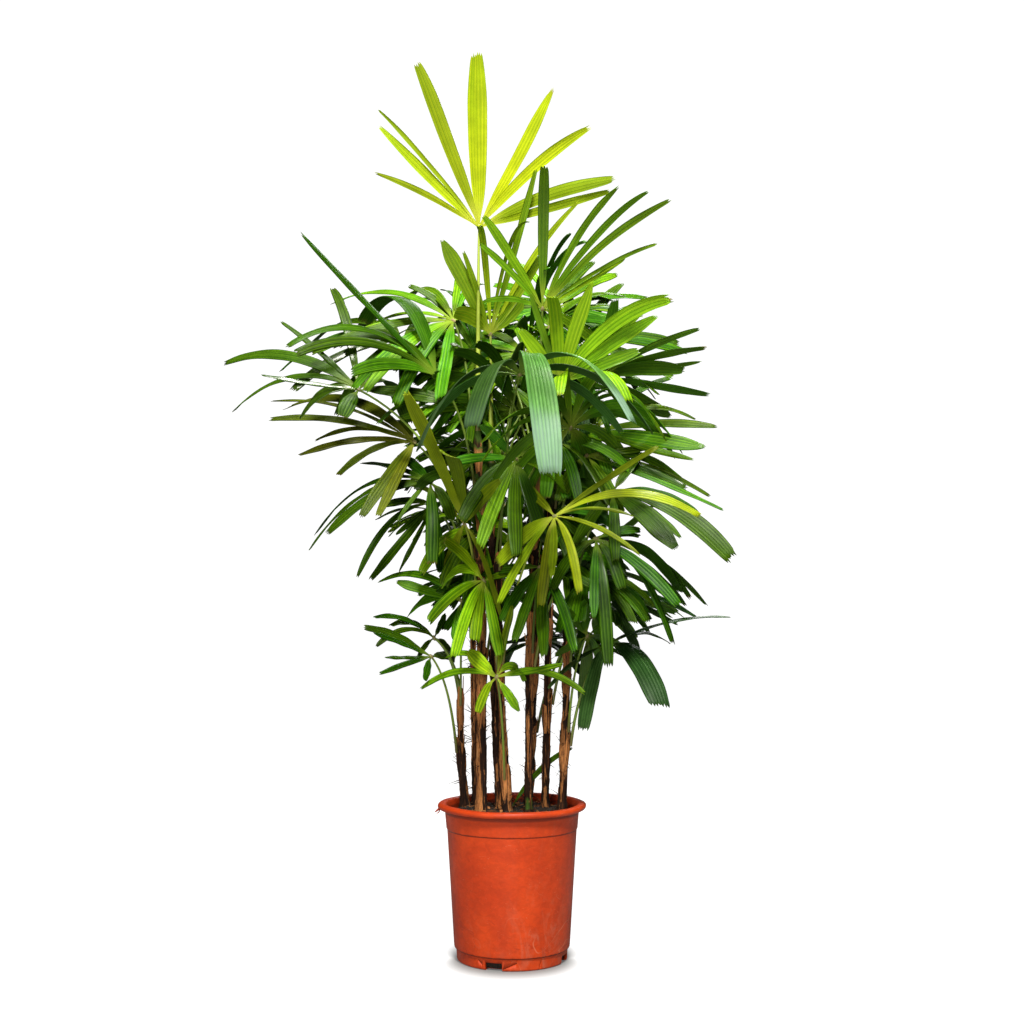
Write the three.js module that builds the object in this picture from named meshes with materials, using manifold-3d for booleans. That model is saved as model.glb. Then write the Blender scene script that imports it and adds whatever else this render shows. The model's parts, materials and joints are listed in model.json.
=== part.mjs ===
// A lady palm in a round nursery pot. Millimetres, +Z up, with the origin under the middle of
// the pot's flat foot. Canes stand on the soil, and each frond is a petiole, a hub and a fan
// of strap-shaped leaflets that arch under their own weight.
import * as THREE from 'three';
import { mergeVertices } from 'three/addons/utils/BufferGeometryUtils.js';
import Module from 'manifold-3d';

const wasm = await Module();
wasm.setup();

// ---- driving dimensions -------------------------------------------------------------------
const clearance = 0.3; // between pieces that touch on the real plant
const roundSides = 36; // faces round the pot and the soil

const pot = {
  footRadius: 89, // the recessed ring that it stands on
  footHeight: 19,
  lowerRadius: 93.5, // body just above the foot
  upperRadius: 104.6, // body just under the collar step
  stepHeight: 212,
  collarRadius: 106.4,
  lipHeight: 242, // underside of the lip
  height: 252,
  lipRadius: 120,
  wall: 2.6,
  drains: 4, // openings through the corner of the foot
  firstDrain: -109, // degrees round from +X
  drainWidth: 26,
  drainHeight: 11,
  drainDepth: 20,
};
const soilTop = 238;
const soilEdgeDrop = 5; // the soil falls off a little towards the wall

const caneSides = 8;
const caneRings = 6;
const flareLength = 28; // the foot of a cane widens over this height
const flareGain = 0.35; // by this share of its radius

// Canes: foot [x, y], sideways bend halfway up [x, y], tip [x, y, z], radius at foot and tip.
const canes = {
  leftShort: { foot: [-76, 22], bend: [-3, 0], tip: [-84, 26, 420], radii: [8, 4.5] },
  leftSlim: { foot: [-60, 34], bend: [0, 0], tip: [-66, 30, 640], radii: [6, 4.5] },
  tall: { foot: [-50, -14], bend: [3, 0], tip: [-55, -12, 850], radii: [9.2, 5.6] },
  inner: { foot: [-19, -2], bend: [-4, 3], tip: [-34, 12, 800], radii: [8, 5.5] },
  front: { foot: [-6, -34], bend: [-4, 4], tip: [-22, -36, 640], radii: [7.5, 5] },
  bent: { foot: [27, -36], bend: [-6, 0], tip: [44, -42, 790], radii: [7.5, 5.5] },
  right: { foot: [54, 14], bend: [0, -2], tip: [62, 4, 740], radii: [7.5, 5.5] },
  rightOuter: { foot: [80, -10], bend: [2, 0], tip: [88, -16, 560], radii: [8, 5] },
  backLeft: { foot: [-14, 54], bend: [-4, 4], tip: [-24, 66, 760], radii: [8, 5.5] },
  backRight: { foot: [27, 50], bend: [2, 2], tip: [46, 62, 820], radii: [7.5, 5.5] },
};

const petioleRadius = 2.6;
const petioleSteps = 4;
const petioleGap = 0.12; // kept to what is already in place
const petioleBend = [0.25, 0.75]; // its curve's control point, as shares of the way out and up
const footDrop = [110, 0.8]; // it leaves its cane this far under the hub, and more by reach
const footBelowTip = 14;
const footAboveSoil = 40;
const hubRise = 4; // the hub's lens above, below and round its middle
const hubDepth = 4.5;
const hubReach = 9;

const ribDepth = 3; // a leaflet's thickness along its middle
const rootHalfWidth = 0.5; // where a leaflet leaves the hub
const rootDepth = 1.6;
const spineSteps = 24;
const stationSteps = 8; // the solid takes every eighth point of the spine
const rootShare = 0.04; // width of a leaflet at the hub, as a share of its full width
const rootGrowth = 3.6; // how fast it widens from there
const tipPower = 5;
const leafletGap = 0.8; // kept to the other fronds
const fellowGap = 0.1; // kept to the other leaflets of the same fan, past the first stretch
const testStart = 0.03; // share of that stretch where they are still joined
const smallestStep = 6.5; // degrees between two leaflets of a fan
const rollRange = 26; // degrees that a leaflet may turn about its own rib, either way
const handRoll = 0.3; // share of that in fans whose leaflets are set one by one
const lowestStart = -170; // degrees, the first angle that a leaflet may take
const weldStep = 1e-4; // points nearer than this are one

// Fronds that face the front and the sides.
// hub: the middle of the fan. onTip: its petiole stands on the tip of its cane.
// turn: the way the fan points, 0 to the right, 90 to the back and 180 to the left.
// rise: how far that way is tipped up. lean: how far the upper side leans to the front.
// cup: how far the leaflets start out above the fan's plane. droop: how far they then fall.
// blades: each leaflet's angle in the fan, length, width and, where its own, droop. Without
// them count leaflets share the spread, at about the given length and width.
// tint: young, green, deep or olive.
const shownFronds = [
  { tint: 'young', cane: 'tall', hub: [-53, -12, 1178], turn: -102, rise: 73, droop: 0.12, cup: 0.1,
    onTip: true, blades: [[-54, 182, 11, 0.3], [-44, 218, 17, 0], [-34, 236, 8, 0.3],
    [-16, 260, 23, 0.3], [2, 254, 33, 0.45], [32, 230, 20, 0], [42, 224, 19, 0.45], [66, 218, 21, 0.3],
    [78, 206, 15, 0]] },
  { tint: 'green', cane: 'bent', hub: [48, -62, 1038], turn: -84, rise: 70, lean: 6, droop: 0.1,
    onTip: true, blades: [[-64, 92, 10, 0.75], [-40, 134, 11, 0.3], [-30, 164, 15, 0.3],
    [-2, 224, 18, 0.75], [20, 212, 12, 0.6], [28, 236, 12, 0.6], [38, 248, 13, 0.45],
    [48, 194, 7, 0.45], [58, 140, 8, 0], [108, 98, 19, 0.6]] },
  { tint: 'young', cane: 'inner', hub: [-35, 20, 1010], turn: -80, rise: 68, lean: 4, droop: 0.2,
    onTip: true, blades: [[-42, 68, 28, 0.75], [-30, 164, 26, 0], [-20, 134, 10, 0.15],
    [-2, 242, 12, 1.2], [4, 242, 7, 1.05], [12, 260, 12, 0], [22, 284, 12, 0], [30, 140, 20, 0],
    [40, 68, 25, 0]] },
  { tint: 'deep', cane: 'tall', hub: [-118, -64, 931], turn: -162, rise: 48, lean: 34, droop: 1.6,
    cup: 0.15, blades: [[-102, 98, 28, 0.6], [-90, 128, 20, 0.45], [-34, 242, 40, 1.35],
    [-12, 86, 16, 1.8], [-2, 200, 30, 1.5], [10, 284, 16, 1.05], [18, 302, 19, 0], [28, 278, 18, 0.9],
    [40, 182, 22, 0.75]] },
  { tint: 'deep', cane: 'tall', hub: [-241, -68, 910], turn: 160, rise: 30, lean: 46, droop: 1.6,
    cup: 0.15, blades: [[-146, 122, 28, 0.3], [-86, 134, 40, 2.55], [-44, 260, 18, 0.6],
    [-14, 176, 12, 0.3], [-4, 236, 25, 0.9], [8, 212, 16, 1.35], [24, 104, 30, 1.95], [38, 140, 9, 0],
    [102, 56, 27, 0.6]] },
  { tint: 'deep', cane: 'front', hub: [12, -156, 922], turn: -90, rise: 22, droop: 2.4, cup: 0.3,
    blades: [[-104, 180, 26, 1.6], [-66, 215, 28], [-28, 180, 34, 3], [10, 300, 44, 3.4],
    [40, 260, 22, 2], [74, 230, 26, 1.8], [108, 190, 24, 1.4]] },
  { tint: 'green', cane: 'bent', hub: [74, -98, 917], turn: -100, rise: 68, droop: 0.3, cup: 0.1,
    blades: [[-30, 92, 23, 0.3], [-16, 134, 12, 0], [0, 140, 23, 0.9], [20, 152, 24, 0],
    [36, 212, 24, 0.75], [44, 188, 23, 0], [54, 170, 23, 0.15], [66, 122, 20, 0.15]] },
  { tint: 'green', cane: 'right', hub: [140, -25, 937], turn: -85, rise: 50, lean: 6, droop: 0.5,
    cup: 0.15, blades: [[-150, 80, 21, 1.05], [6, 122, 20, 0.15], [56, 164, 13, 0.3],
    [68, 164, 16, 0.3], [76, 128, 29, 0.45], [86, 158, 12, 0], [106, 188, 15, 0], [126, 152, 25, 0],
    [142, 122, 20, 0]] },
  { tint: 'olive', cane: 'front', hub: [64, -160, 708], turn: -46, rise: -6, lean: 66, droop: 2.2,
    blades: [[-146, 110, 40, 0.75], [-110, 146, 18, 0.9], [-74, 134, 20, 2.7], [-58, 110, 17, 0.15],
    [-28, 134, 15, 2.1], [2, 170, 9, 0.6], [32, 122, 7, 0.75], [46, 224, 20, 1.05],
    [56, 176, 16, 0.15], [150, 134, 16, 0.15]] },
  { tint: 'olive', cane: 'tall', hub: [-75, -64, 700], turn: -132, rise: 63, lean: 6, droop: 0.5,
    blades: [[-130, 152, 19, 0.45], [-30, 200, 19, 0.9], [-2, 218, 40, 0.3], [20, 194, 40, 0.9],
    [56, 152, 22, 0.15], [150, 146, 22, 1.95]] },
  { tint: 'green', cane: 'tall', hub: [-95, 0, 1030], turn: 156, rise: 26, lean: 39, droop: 0.8,
    cup: 0.1, spread: 240, count: 10, length: 234, width: 25 },
  { tint: 'deep', cane: 'rightOuter', hub: [158, -71, 750], turn: -3, rise: 20, lean: 40, droop: 0.9,
    blades: [[-142, 104, 29, 0.45], [-102, 128, 20, 0.6], [-66, 158, 31, 0.3], [-52, 140, 13, 0.6],
    [-34, 218, 33, 1.05], [-18, 134, 19, 0.9], [46, 80, 21, 0], [124, 104, 27, 0.3]] },
  { tint: 'olive', cane: 'leftSlim', hub: [-156, -21, 832], turn: 115, rise: 43, lean: 20, droop: 0.5,
    cup: 0.15, blades: [[6, 62, 21, 0], [26, 260, 27, 0.9], [40, 248, 11, 0.6], [50, 158, 13, 0.9],
    [58, 224, 16, 0.45], [76, 176, 20, 0.6], [88, 134, 16, 1.05], [140, 206, 21, 0.3],
    [150, 224, 18, 0]] },
  { tint: 'deep', cane: 'inner', hub: [6, -88, 800], turn: -167, rise: 29, lean: 46, droop: 1.9,
    blades: [[-148, 122, 32, 1.2], [-108, 128, 20, 0.3], [-24, 68, 29, 0.15], [34, 104, 19, 0.45],
    [56, 146, 23, 1.2], [84, 176, 23, 0.45], [106, 170, 27, 0.3], [130, 134, 29, 0.45]] },
  { tint: 'deep', cane: 'leftSlim', hub: [-129, -52, 766], turn: -167, rise: -3, lean: 40, droop: 1.1,
    blades: [[-72, 92, 22, 0.3], [-50, 128, 16, 0.45], [-38, 224, 16, 1.65], [-20, 224, 11, 1.65],
    [-2, 176, 22, 1.05], [42, 86, 9, 0.75], [82, 140, 23, 2.25], [120, 68, 23, 1.8]] },
  { tint: 'deep', cane: 'leftSlim', hub: [-128, 28, 735], turn: -156, rise: 40, lean: 60, droop: 1,
    blades: [[28, 80, 13, 0.6], [42, 182, 11, 2.1], [76, 80, 10, 0], [86, 164, 15, 0], [98, 122, 9, 0],
    [132, 104, 24, 0]] },
  { tint: 'green', cane: 'leftShort', hub: [-81, -12, 578], turn: -158, rise: -15, lean: 60,
    droop: 0.8, blades: [[-134, 56, 16, 0], [-82, 50, 15, 0.3], [-72, 158, 17, 1.05],
    [-50, 92, 27, 1.65], [-38, 98, 20, 0], [58, 68, 16, 0], [150, 56, 20, 0.15]] },
  { tint: 'deep', cane: 'leftShort', hub: [-127, 25, 516], turn: 149, rise: 66, droop: 0.7,
    onTip: true, blades: [[-110, 56, 22, 1.05], [-56, 62, 13, 0], [40, 80, 16, 1.05],
    [48, 116, 11, 0.75], [58, 122, 10, 1.2], [106, 56, 10, 0.6]] },
  { tint: 'deep', cane: 'leftShort', hub: [-130, -13, 488], turn: 198, rise: 41, lean: 26, droop: 0.3,
    blades: [[-120, 68, 18, 0.15], [10, 116, 19, 0.45], [26, 110, 13, 0.15], [54, 116, 8, 0],
    [64, 158, 10, 0], [90, 56, 15, 0.3]] },
  { tint: 'green', cane: 'front', hub: [-24, -108, 461], turn: -15, rise: 71, lean: 34, droop: 0.9,
    blades: [[-122, 56, 16, 0], [-60, 104, 10, 0], [-50, 146, 11, 1.05], [-18, 56, 16, 2.1],
    [8, 104, 13, 0.15], [62, 98, 10, 1.05], [72, 56, 25, 0], [92, 158, 15, 0.45],
    [150, 56, 16, 1.95]] },
  { tint: 'green', cane: 'front', hub: [-44, -70, 610], turn: 170, rise: 54, lean: 20, droop: 2.1,
    cup: 0.15, blades: [[-90, 80, 16, 0], [10, 80, 29, 0.45], [22, 80, 27, 1.95], [80, 152, 18, 0.75],
    [104, 164, 21, 0.9], [116, 110, 24, 1.2], [146, 122, 24, 1.05]] },
  { tint: 'deep', cane: 'bent', hub: [44, -76, 632], turn: -7, rise: 23, lean: 40, droop: 1.8,
    blades: [[-148, 98, 25, 0.6], [-118, 140, 21, 0], [-100, 182, 22, 0], [-78, 164, 18, 0.9],
    [-42, 110, 17, 0.45], [58, 80, 21, 0.3], [146, 104, 24, 0.3]] },
  { tint: 'green', cane: 'right', hub: [131, 22, 854], turn: -14, rise: -1, lean: 60, droop: 0.6,
    cup: 0.15, blades: [[-118, 86, 26, 0.15], [-64, 98, 19, 0.45], [-24, 182, 13, 0],
    [-16, 188, 29, 0], [6, 194, 18, 0.3], [40, 170, 15, 1.05], [54, 152, 14, 0.6],
    [98, 80, 20, 0.3]] },
  { tint: 'green', cane: 'right', hub: [120, -13, 811], turn: 77, rise: 49, lean: 34, droop: 0.9,
    blades: [[-148, 122, 20, 0.75], [-108, 230, 11, 0.15], [-98, 158, 22, 0.3], [-88, 200, 11, 0.6],
    [-74, 98, 16, 0], [-64, 158, 22, 1.05], [-4, 122, 20, 0], [150, 86, 25, 1.05]] },
  { tint: 'deep', cane: 'backLeft', hub: [-181, 48, 1004], turn: 168, rise: 25, lean: 33, droop: 1.3,
    cup: 0.1, spread: 220, count: 8, length: 211, width: 22 },
  { tint: 'deep', cane: 'rightOuter', hub: [156, -17, 672], turn: -77, rise: 31, droop: 0.9,
    blades: [[-134, 86, 31, 1.2], [16, 116, 20, 0], [84, 140, 38, 1.8], [96, 164, 15, 1.35],
    [110, 212, 11, 0.75], [126, 212, 12, 0.45], [150, 122, 20, 1.35]] },
  { tint: 'deep', cane: 'bent', hub: [129, -118, 675], turn: -21, rise: -10, lean: 54, droop: 1.7,
    blades: [[-150, 104, 30, 2.4], [-72, 140, 16, 0.15], [-62, 200, 21, 2.1], [-34, 86, 20, 1.5],
    [-14, 164, 22, 0.75], [-4, 200, 14, 2.7], [42, 62, 20, 0.45]] },
  { tint: 'deep', cane: 'right', hub: [158, 46, 602], turn: 35, rise: 1, lean: 54, droop: 0.8,
    blades: [[-146, 116, 20, 0], [-96, 134, 20, 0], [-58, 80, 24, 0], [-42, 122, 13, 0],
    [-24, 68, 20, 0], [-14, 176, 13, 0.3], [58, 104, 18, 0.15]] },
  { tint: 'green', cane: 'rightOuter', hub: [118, -65, 523], turn: -64, rise: 55, lean: 20, droop: 0.8,
    cup: 0.15, blades: [[-108, 56, 22, 0], [-44, 80, 14, 0], [-22, 68, 25, 0], [84, 56, 13, 0.15],
    [114, 200, 13, 0.3], [128, 122, 15, 0.6], [146, 296, 38, 0.3]] },
  { tint: 'deep', cane: 'rightOuter', hub: [156, -16, 508], turn: -36, rise: 7, lean: 26, droop: 1,
    cup: 0.15, blades: [[-115, 123, 22, 0.7], [-84, 158, 27, 2.9], [-23, 169, 38, 1.7],
    [35, 188, 17, 0.5], [57, 104, 22, 1.1], [116, 128, 20, 1.8]] },
  { tint: 'green', cane: 'backRight', hub: [71, 75, 1063], turn: 66, rise: 49, lean: 36, droop: 0.4,
    spread: 210, count: 9, length: 162, width: 27 },
  { tint: 'green', cane: 'right', hub: [112, 56, 1009], turn: 18, rise: 33, lean: 61, droop: 0.6,
    spread: 230, count: 9, length: 174, width: 23 },
  { tint: 'deep', cane: 'inner', hub: [6, 58, 891], turn: -70, rise: 53, lean: 9, droop: 0.6,
    spread: 250, count: 11, length: 213, width: 35 },
  { tint: 'green', cane: 'bent', hub: [92, -63, 850], turn: -64, rise: 55, lean: 12, droop: 1.5,
    cup: 0.1, spread: 280, count: 11, length: 223, width: 35 },
  { tint: 'deep', cane: 'tall', hub: [-52, 26, 964], turn: -172, rise: 55, lean: 29, droop: 0.8,
    spread: 160, count: 9, length: 202, width: 33 },
  { tint: 'deep', cane: 'rightOuter', hub: [117, -51, 611], turn: -39, rise: 9, lean: 26, droop: 1.6,
    spread: 200, count: 8, length: 142, width: 32 },
];

// Fronds that fill the back and the middle, placed by rule.
const backFronds = 12;
const backHeights = [480, 1020];
const backSweep = [23, 146]; // range of their directions
const backReach = [66, 169]; // hub's distance from the middle of the back
const backMiddle = 40; // which lies this far behind the pot's axis
const backTaper = 0.45; // the topmost reach out less, by this share
const backRise = [18, 60]; // from the lowest to the topmost
const backLength = [0.83, 1.07];
const goldenStep = 0.618; // spreads their directions evenly
const goldenStart = 0.41;
const backSeed = 55;
const backCanes = ['backRight', 'backLeft'];
const backFan = { spread: 240, count: 9, length: 198, width: 29, droop: 1.1, cup: 0.1 };
const backLean = -25;
const backTints = ['deep', 'green', 'deep'];

// ---- small helpers ------------------------------------------------------------------------
const up = new THREE.Vector3(0, 0, 1);
const radians = THREE.MathUtils.degToRad;
const mix = THREE.MathUtils.lerp;
const vector = (x, y, z) => new THREE.Vector3(x, y, z);

// A repeatable number from 0 to 1 for two seeds.
function chance(seedA, seedB) {
  const wave = Math.sin(seedA * 12.9898 + seedB * 78.233) * 43758.5453;
  return wave - Math.floor(wave);
}

// A closed solid through rings of equal point counts, with a fan of faces over each end.
function loft(rings) {
  const sides = rings[0].length;
  const last = (rings.length - 1) * sides;
  const faces = [];
  for (let ring = 0; ring + 1 < rings.length; ring++) {
    for (let side = 0; side < sides; side++) {
      const next = (side + 1) % sides;
      const [a, b] = [ring * sides + side, ring * sides + next];
      faces.push(a, b, b + sides, a, b + sides, a + sides);
    }
  }
  for (let side = 1; side + 1 < sides; side++) {
    faces.push(0, side + 1, side, last, last + side, last + side + 1);
  }
  const geometry = new THREE.BufferGeometry().setFromPoints(rings.flat());
  geometry.setIndex(faces);
  return geometry;
}

function signedVolume(geometry) {
  const place = geometry.attributes.position;
  const index = geometry.index.array;
  const [a, b, c] = [vector(), vector(), vector()];
  let volume = 0;
  for (let i = 0; i < index.length; i += 3) {
    a.fromBufferAttribute(place, index[i]);
    b.fromBufferAttribute(place, index[i + 1]);
    c.fromBufferAttribute(place, index[i + 2]);
    volume += a.dot(b.cross(c)) / 6;
  }
  return volume;
}

// Faces turned the right way out.
function facingOut(geometry) {
  if (signedVolume(geometry) < 0) {
    const index = geometry.index.array;
    for (let i = 0; i < index.length; i += 3) {
      [index[i], index[i + 1]] = [index[i + 1], index[i]];
    }
  }
  return geometry;
}

function toSolid(geometry) {
  const bare = geometry.clone();
  bare.deleteAttribute('normal');
  bare.deleteAttribute('uv');
  const merged = facingOut(mergeVertices(bare, weldStep));
  return new wasm.Manifold(new wasm.Mesh({
    numProp: 3,
    vertProperties: merged.attributes.position.array,
    triVerts: Uint32Array.from(merged.index.array),
  }));
}

function toGeometry(solid) {
  const mesh = solid.getMesh();
  const geometry = new THREE.BufferGeometry();
  geometry.setAttribute('position', new THREE.BufferAttribute(mesh.vertProperties, 3));
  geometry.setIndex(new THREE.BufferAttribute(mesh.triVerts, 1));
  return geometry;
}

// A turned shape about +Z from [radius, height] pairs that start and end on the axis.
function turned(profile) {
  const points = profile.map(([radius, height]) => new THREE.Vector2(radius, height));
  return new THREE.LatheGeometry(points, roundSides).rotateX(Math.PI / 2);
}

// ---- pot and soil -------------------------------------------------------------------------
function potGeometry() {
  const { footRadius, footHeight, lowerRadius, upperRadius, stepHeight, collarRadius } = pot;
  const { lipHeight, height, lipRadius, wall } = pot;
  const shell = turned([
    [0, 0], [footRadius - 3, 0], [footRadius, 3], [footRadius + 1, footHeight],
    [lowerRadius - 0.8, footHeight + 1.5], [lowerRadius, footHeight + 5],
    [upperRadius, stepHeight - 2], [collarRadius, stepHeight], [collarRadius + 2, lipHeight],
    [lipRadius - 3, lipHeight], [lipRadius, lipHeight + 4], [lipRadius - 1, height - 2],
    [lipRadius - 4, height], [collarRadius + 2, height], [collarRadius - 1, height - 3],
    [upperRadius - wall, stepHeight], [lowerRadius - wall, footHeight + 5],
    [footRadius - wall, footHeight], [footRadius - 2 * wall, wall], [0, wall],
  ]);
  let solid = toSolid(shell);
  for (let i = 0; i < pot.drains; i++) {
    const drain = new THREE.BoxGeometry(pot.drainDepth, pot.drainWidth, pot.drainHeight);
    drain.translate(footRadius + 4 - pot.drainDepth / 2, 0, pot.drainHeight / 2 - 1);
    drain.rotateZ(radians(pot.firstDrain + i * 360 / pot.drains));
    solid = solid.subtract(toSolid(drain));
  }
  return toGeometry(solid);
}

function soilGeometry() {
  const { footRadius, footHeight, lowerRadius, upperRadius, stepHeight, wall } = pot;
  const inset = wall + clearance;
  return toGeometry(toSolid(turned([
    [0, wall + clearance], [footRadius - 2 * wall - clearance, wall + clearance],
    [footRadius - inset, footHeight], [lowerRadius - inset, footHeight + 5],
    [upperRadius - inset, stepHeight], [upperRadius - wall, soilTop - soilEdgeDrop],
    [upperRadius - wall - 12, soilTop], [0, soilTop],
  ])));
}

// ---- canes --------------------------------------------------------------------------------
// Level rings up a cane: middle, radius.
function caneRingsOf({ foot, bend, tip, radii }) {
  const rings = [];
  for (let i = 0; i <= caneRings; i++) {
    const share = i < 2 ? i * flareLength / (tip[2] - soilTop) : (i - 1) / (caneRings - 1);
    const bow = 4 * share * (1 - share);
    const flare = i === 0 ? 1 + flareGain : 1;
    rings.push({
      middle: vector(
        mix(foot[0], tip[0], share) + bow * bend[0],
        mix(foot[1], tip[1], share) + bow * bend[1],
        mix(soilTop + clearance, tip[2], share),
      ),
      radius: mix(radii[0], radii[1], share) * flare,
    });
  }
  return rings;
}

function caneAt(rings, height) {
  const above = Math.max(1, rings.findIndex(({ middle }) => middle.z >= height));
  const [low, high] = [rings[above - 1], rings[above]];
  const share = (height - low.middle.z) / (high.middle.z - low.middle.z);
  return {
    middle: low.middle.clone().lerp(high.middle, share),
    radius: mix(low.radius, high.radius, share),
  };
}

function caneGeometry(rings) {
  return loft(rings.map(({ middle, radius }) => {
    const ring = [];
    for (let side = 0; side < caneSides; side++) {
      const angle = 2 * Math.PI * side / caneSides;
      ring.push(vector(radius * Math.cos(angle), radius * Math.sin(angle), 0).add(middle));
    }
    return ring;
  }));
}

// ---- fronds -------------------------------------------------------------------------------
// The way a fan points, the level line across it, and the leaflet headings in it.
function fanAxes({ turn, rise, lean = 0 }) {
  const [t, r, l] = [turn, rise, lean].map(radians);
  const ahead = vector(Math.cos(t) * Math.cos(r), Math.sin(t) * Math.cos(r), Math.sin(r));
  const face = vector(0, -Math.sin(l), Math.cos(l));
  face.addScaledVector(ahead, -face.dot(ahead)).normalize();
  return { ahead, face, across: face.clone().cross(ahead) };
}

// Leaflets of a fan, with their small differences.
function leafletsOf(frond, seed) {
  const blades = frond.blades ?? Array.from({ length: frond.count }, (_, i) => {
    const share = frond.count > 1 ? i / (frond.count - 1) - 0.5 : 0;
    const step = frond.spread / frond.count;
    const side = Math.abs(share) * 2;
    return [
      share * frond.spread + (chance(seed, i) - 0.5) * 0.5 * step,
      frond.length * (1.04 - 0.24 * side) * mix(0.84, 1.1, chance(seed + 40, i)),
      frond.width * mix(0.62, 1.16, chance(seed + 80, i)),
    ];
  });
  return blades.map(([angle, length, width, droop], i) => ({
    angle, length, width,
    droop: droop ?? frond.droop * mix(0.7, 1.3, chance(seed + 120, i)),
    narrowing: mix(0.35, 0.75, chance(seed + 160, i)),
    cup: frond.cup ?? 0,
    roll: (frond.blades ? handRoll : 1) * rollRange * (2 * chance(seed + 200, i) - 1),
  }));
}

// Points along a leaflet's rib. Its heading falls away from the fan's as it goes out.
function spineOf(hub, heading, { length, droop }) {
  const points = [hub.clone().addScaledVector(heading, hubReach)];
  for (let i = 0; i < spineSteps; i++) {
    const fall = droop * (i + 0.5) / spineSteps;
    const way = heading.clone().addScaledVector(up, -fall).normalize();
    points.push(points[i].clone().addScaledVector(way, length / spineSteps));
  }
  return points;
}

function widthShare(share, narrowing) {
  const root = 1 - (1 - rootShare) * Math.exp(-rootGrowth * share);
  return root * (1 - narrowing * share ** tipPower);
}

// Cross-sections of a leaflet from its root to its straight cut tip, each with its left and
// right edges, which are level with the rib's top, and the rib's keel. grow thickens it all
// round, for testing how near it comes to its neighbours.
function leafletRings(hub, axes, leaflet, grow = 0) {
  const angle = radians(leaflet.angle);
  const heading = axes.ahead.clone().multiplyScalar(Math.cos(angle))
    .addScaledVector(axes.across, Math.sin(angle))
    .addScaledVector(axes.face, leaflet.cup).normalize();
  const level = axes.across.clone().multiplyScalar(Math.cos(angle))
    .addScaledVector(axes.ahead, -Math.sin(angle));
  const rolled = level.clone().applyAxisAngle(heading, radians(leaflet.roll));
  const spine = spineOf(hub, heading, leaflet);
  const rings = [];
  for (let i = 0; i <= spineSteps; i += stationSteps) {
    const before = spine[Math.max(0, i - 1)];
    const way = spine[Math.min(spineSteps, i + 1)].clone().sub(before).normalize();
    const edge = i === 0 ? level : rolled;
    const side = edge.clone().addScaledVector(way, -edge.dot(way)).normalize();
    const below = side.clone().cross(way);
    const half = i === 0 ? rootHalfWidth
      : leaflet.width / 2 * widthShare(i / spineSteps, leaflet.narrowing);
    const depth = i === 0 ? rootDepth : ribDepth;
    const middle = spine[i].clone().addScaledVector(below, -grow);
    rings.push([
      middle.clone().addScaledVector(side, -half - grow),
      middle.clone().addScaledVector(side, half + grow),
      middle.clone().addScaledVector(below, depth + 2 * grow),
    ]);
  }
  return rings;
}

// The stretch of a leaflet beyond the hub, for testing.
function leafletTest(hub, axes, leaflet, grow) {
  const rings = leafletRings(hub, axes, leaflet, grow);
  rings[0] = rings[0].map((point, i) => point.lerp(rings[1][i], testStart));
  return testPiece(loft(rings));
}

// The hub and its leaflets as one closed surface. The hub is a small lens with a point above,
// one below and one at the back, and each leaflet grows from its rim.
function fanGeometry(hub, axes, leaflets) {
  const points = [
    hub.clone().addScaledVector(axes.face, hubRise),
    hub.clone().addScaledVector(axes.face, -hubDepth),
    hub.clone().addScaledVector(axes.ahead, -hubReach),
  ];
  const [top, bottom, back] = [0, 1, 2];
  const faces = [];
  let before = back;
  for (const rings of leaflets) {
    let [left, right, keel] = [0, 1, 2].map((corner) => points.length + corner);
    points.push(...rings.flat());
    faces.push(top, before, left, left, before, bottom);
    faces.push(top, left, right, right, keel, bottom, keel, left, bottom);
    before = right;
    for (let i = 1; i < rings.length; i++) {
      const [nextLeft, nextRight, nextKeel] = [left + 3, right + 3, keel + 3];
      faces.push(left, nextLeft, nextRight, left, nextRight, right);
      faces.push(right, nextRight, nextKeel, right, nextKeel, keel);
      faces.push(nextLeft, left, keel, nextLeft, keel, nextKeel);
      [left, right, keel] = [nextLeft, nextRight, nextKeel];
    }
    faces.push(keel, right, left);
  }
  faces.push(top, before, back, back, before, bottom);
  const geometry = new THREE.BufferGeometry().setFromPoints(points);
  geometry.setIndex(faces);
  return geometry;
}

// The hub without its leaflets, for testing.
function hubTest(hub) {
  const lens = new THREE.OctahedronGeometry(hubReach);
  lens.deleteAttribute('normal');
  lens.deleteAttribute('uv');
  return testPiece(mergeVertices(lens, weldStep).translate(hub.x, hub.y, hub.z));
}

// The petiole leaves its cane nearly upright and bends out to the hub.
function petiolePoints(foot, hub, sway) {
  const sideways = vector(hub.y - foot.y, foot.x - hub.x, 0).normalize();
  const [out, upward] = petioleBend;
  const control = foot.clone().lerp(hub, out).setZ(mix(foot.z, hub.z, upward));
  control.addScaledVector(sideways, sway);
  return new THREE.QuadraticBezierCurve3(foot, control, hub).getPoints(petioleSteps);
}

function petioleGeometry(points, inward, grow = 0) {
  return loft(points.map((point, i) => {
    const after = points[Math.min(points.length - 1, i + 1)];
    const way = after.clone().sub(points[Math.max(0, i - 1)]).normalize();
    const first = inward.clone().addScaledVector(way, -inward.dot(way)).normalize();
    const second = way.clone().cross(first);
    return [0, 1, 2].map((corner) => {
      const angle = 2 * Math.PI * corner / 3;
      return point.clone().addScaledVector(first, (petioleRadius + grow) * Math.cos(angle))
        .addScaledVector(second, (petioleRadius + grow) * Math.sin(angle));
    });
  }));
}

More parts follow.
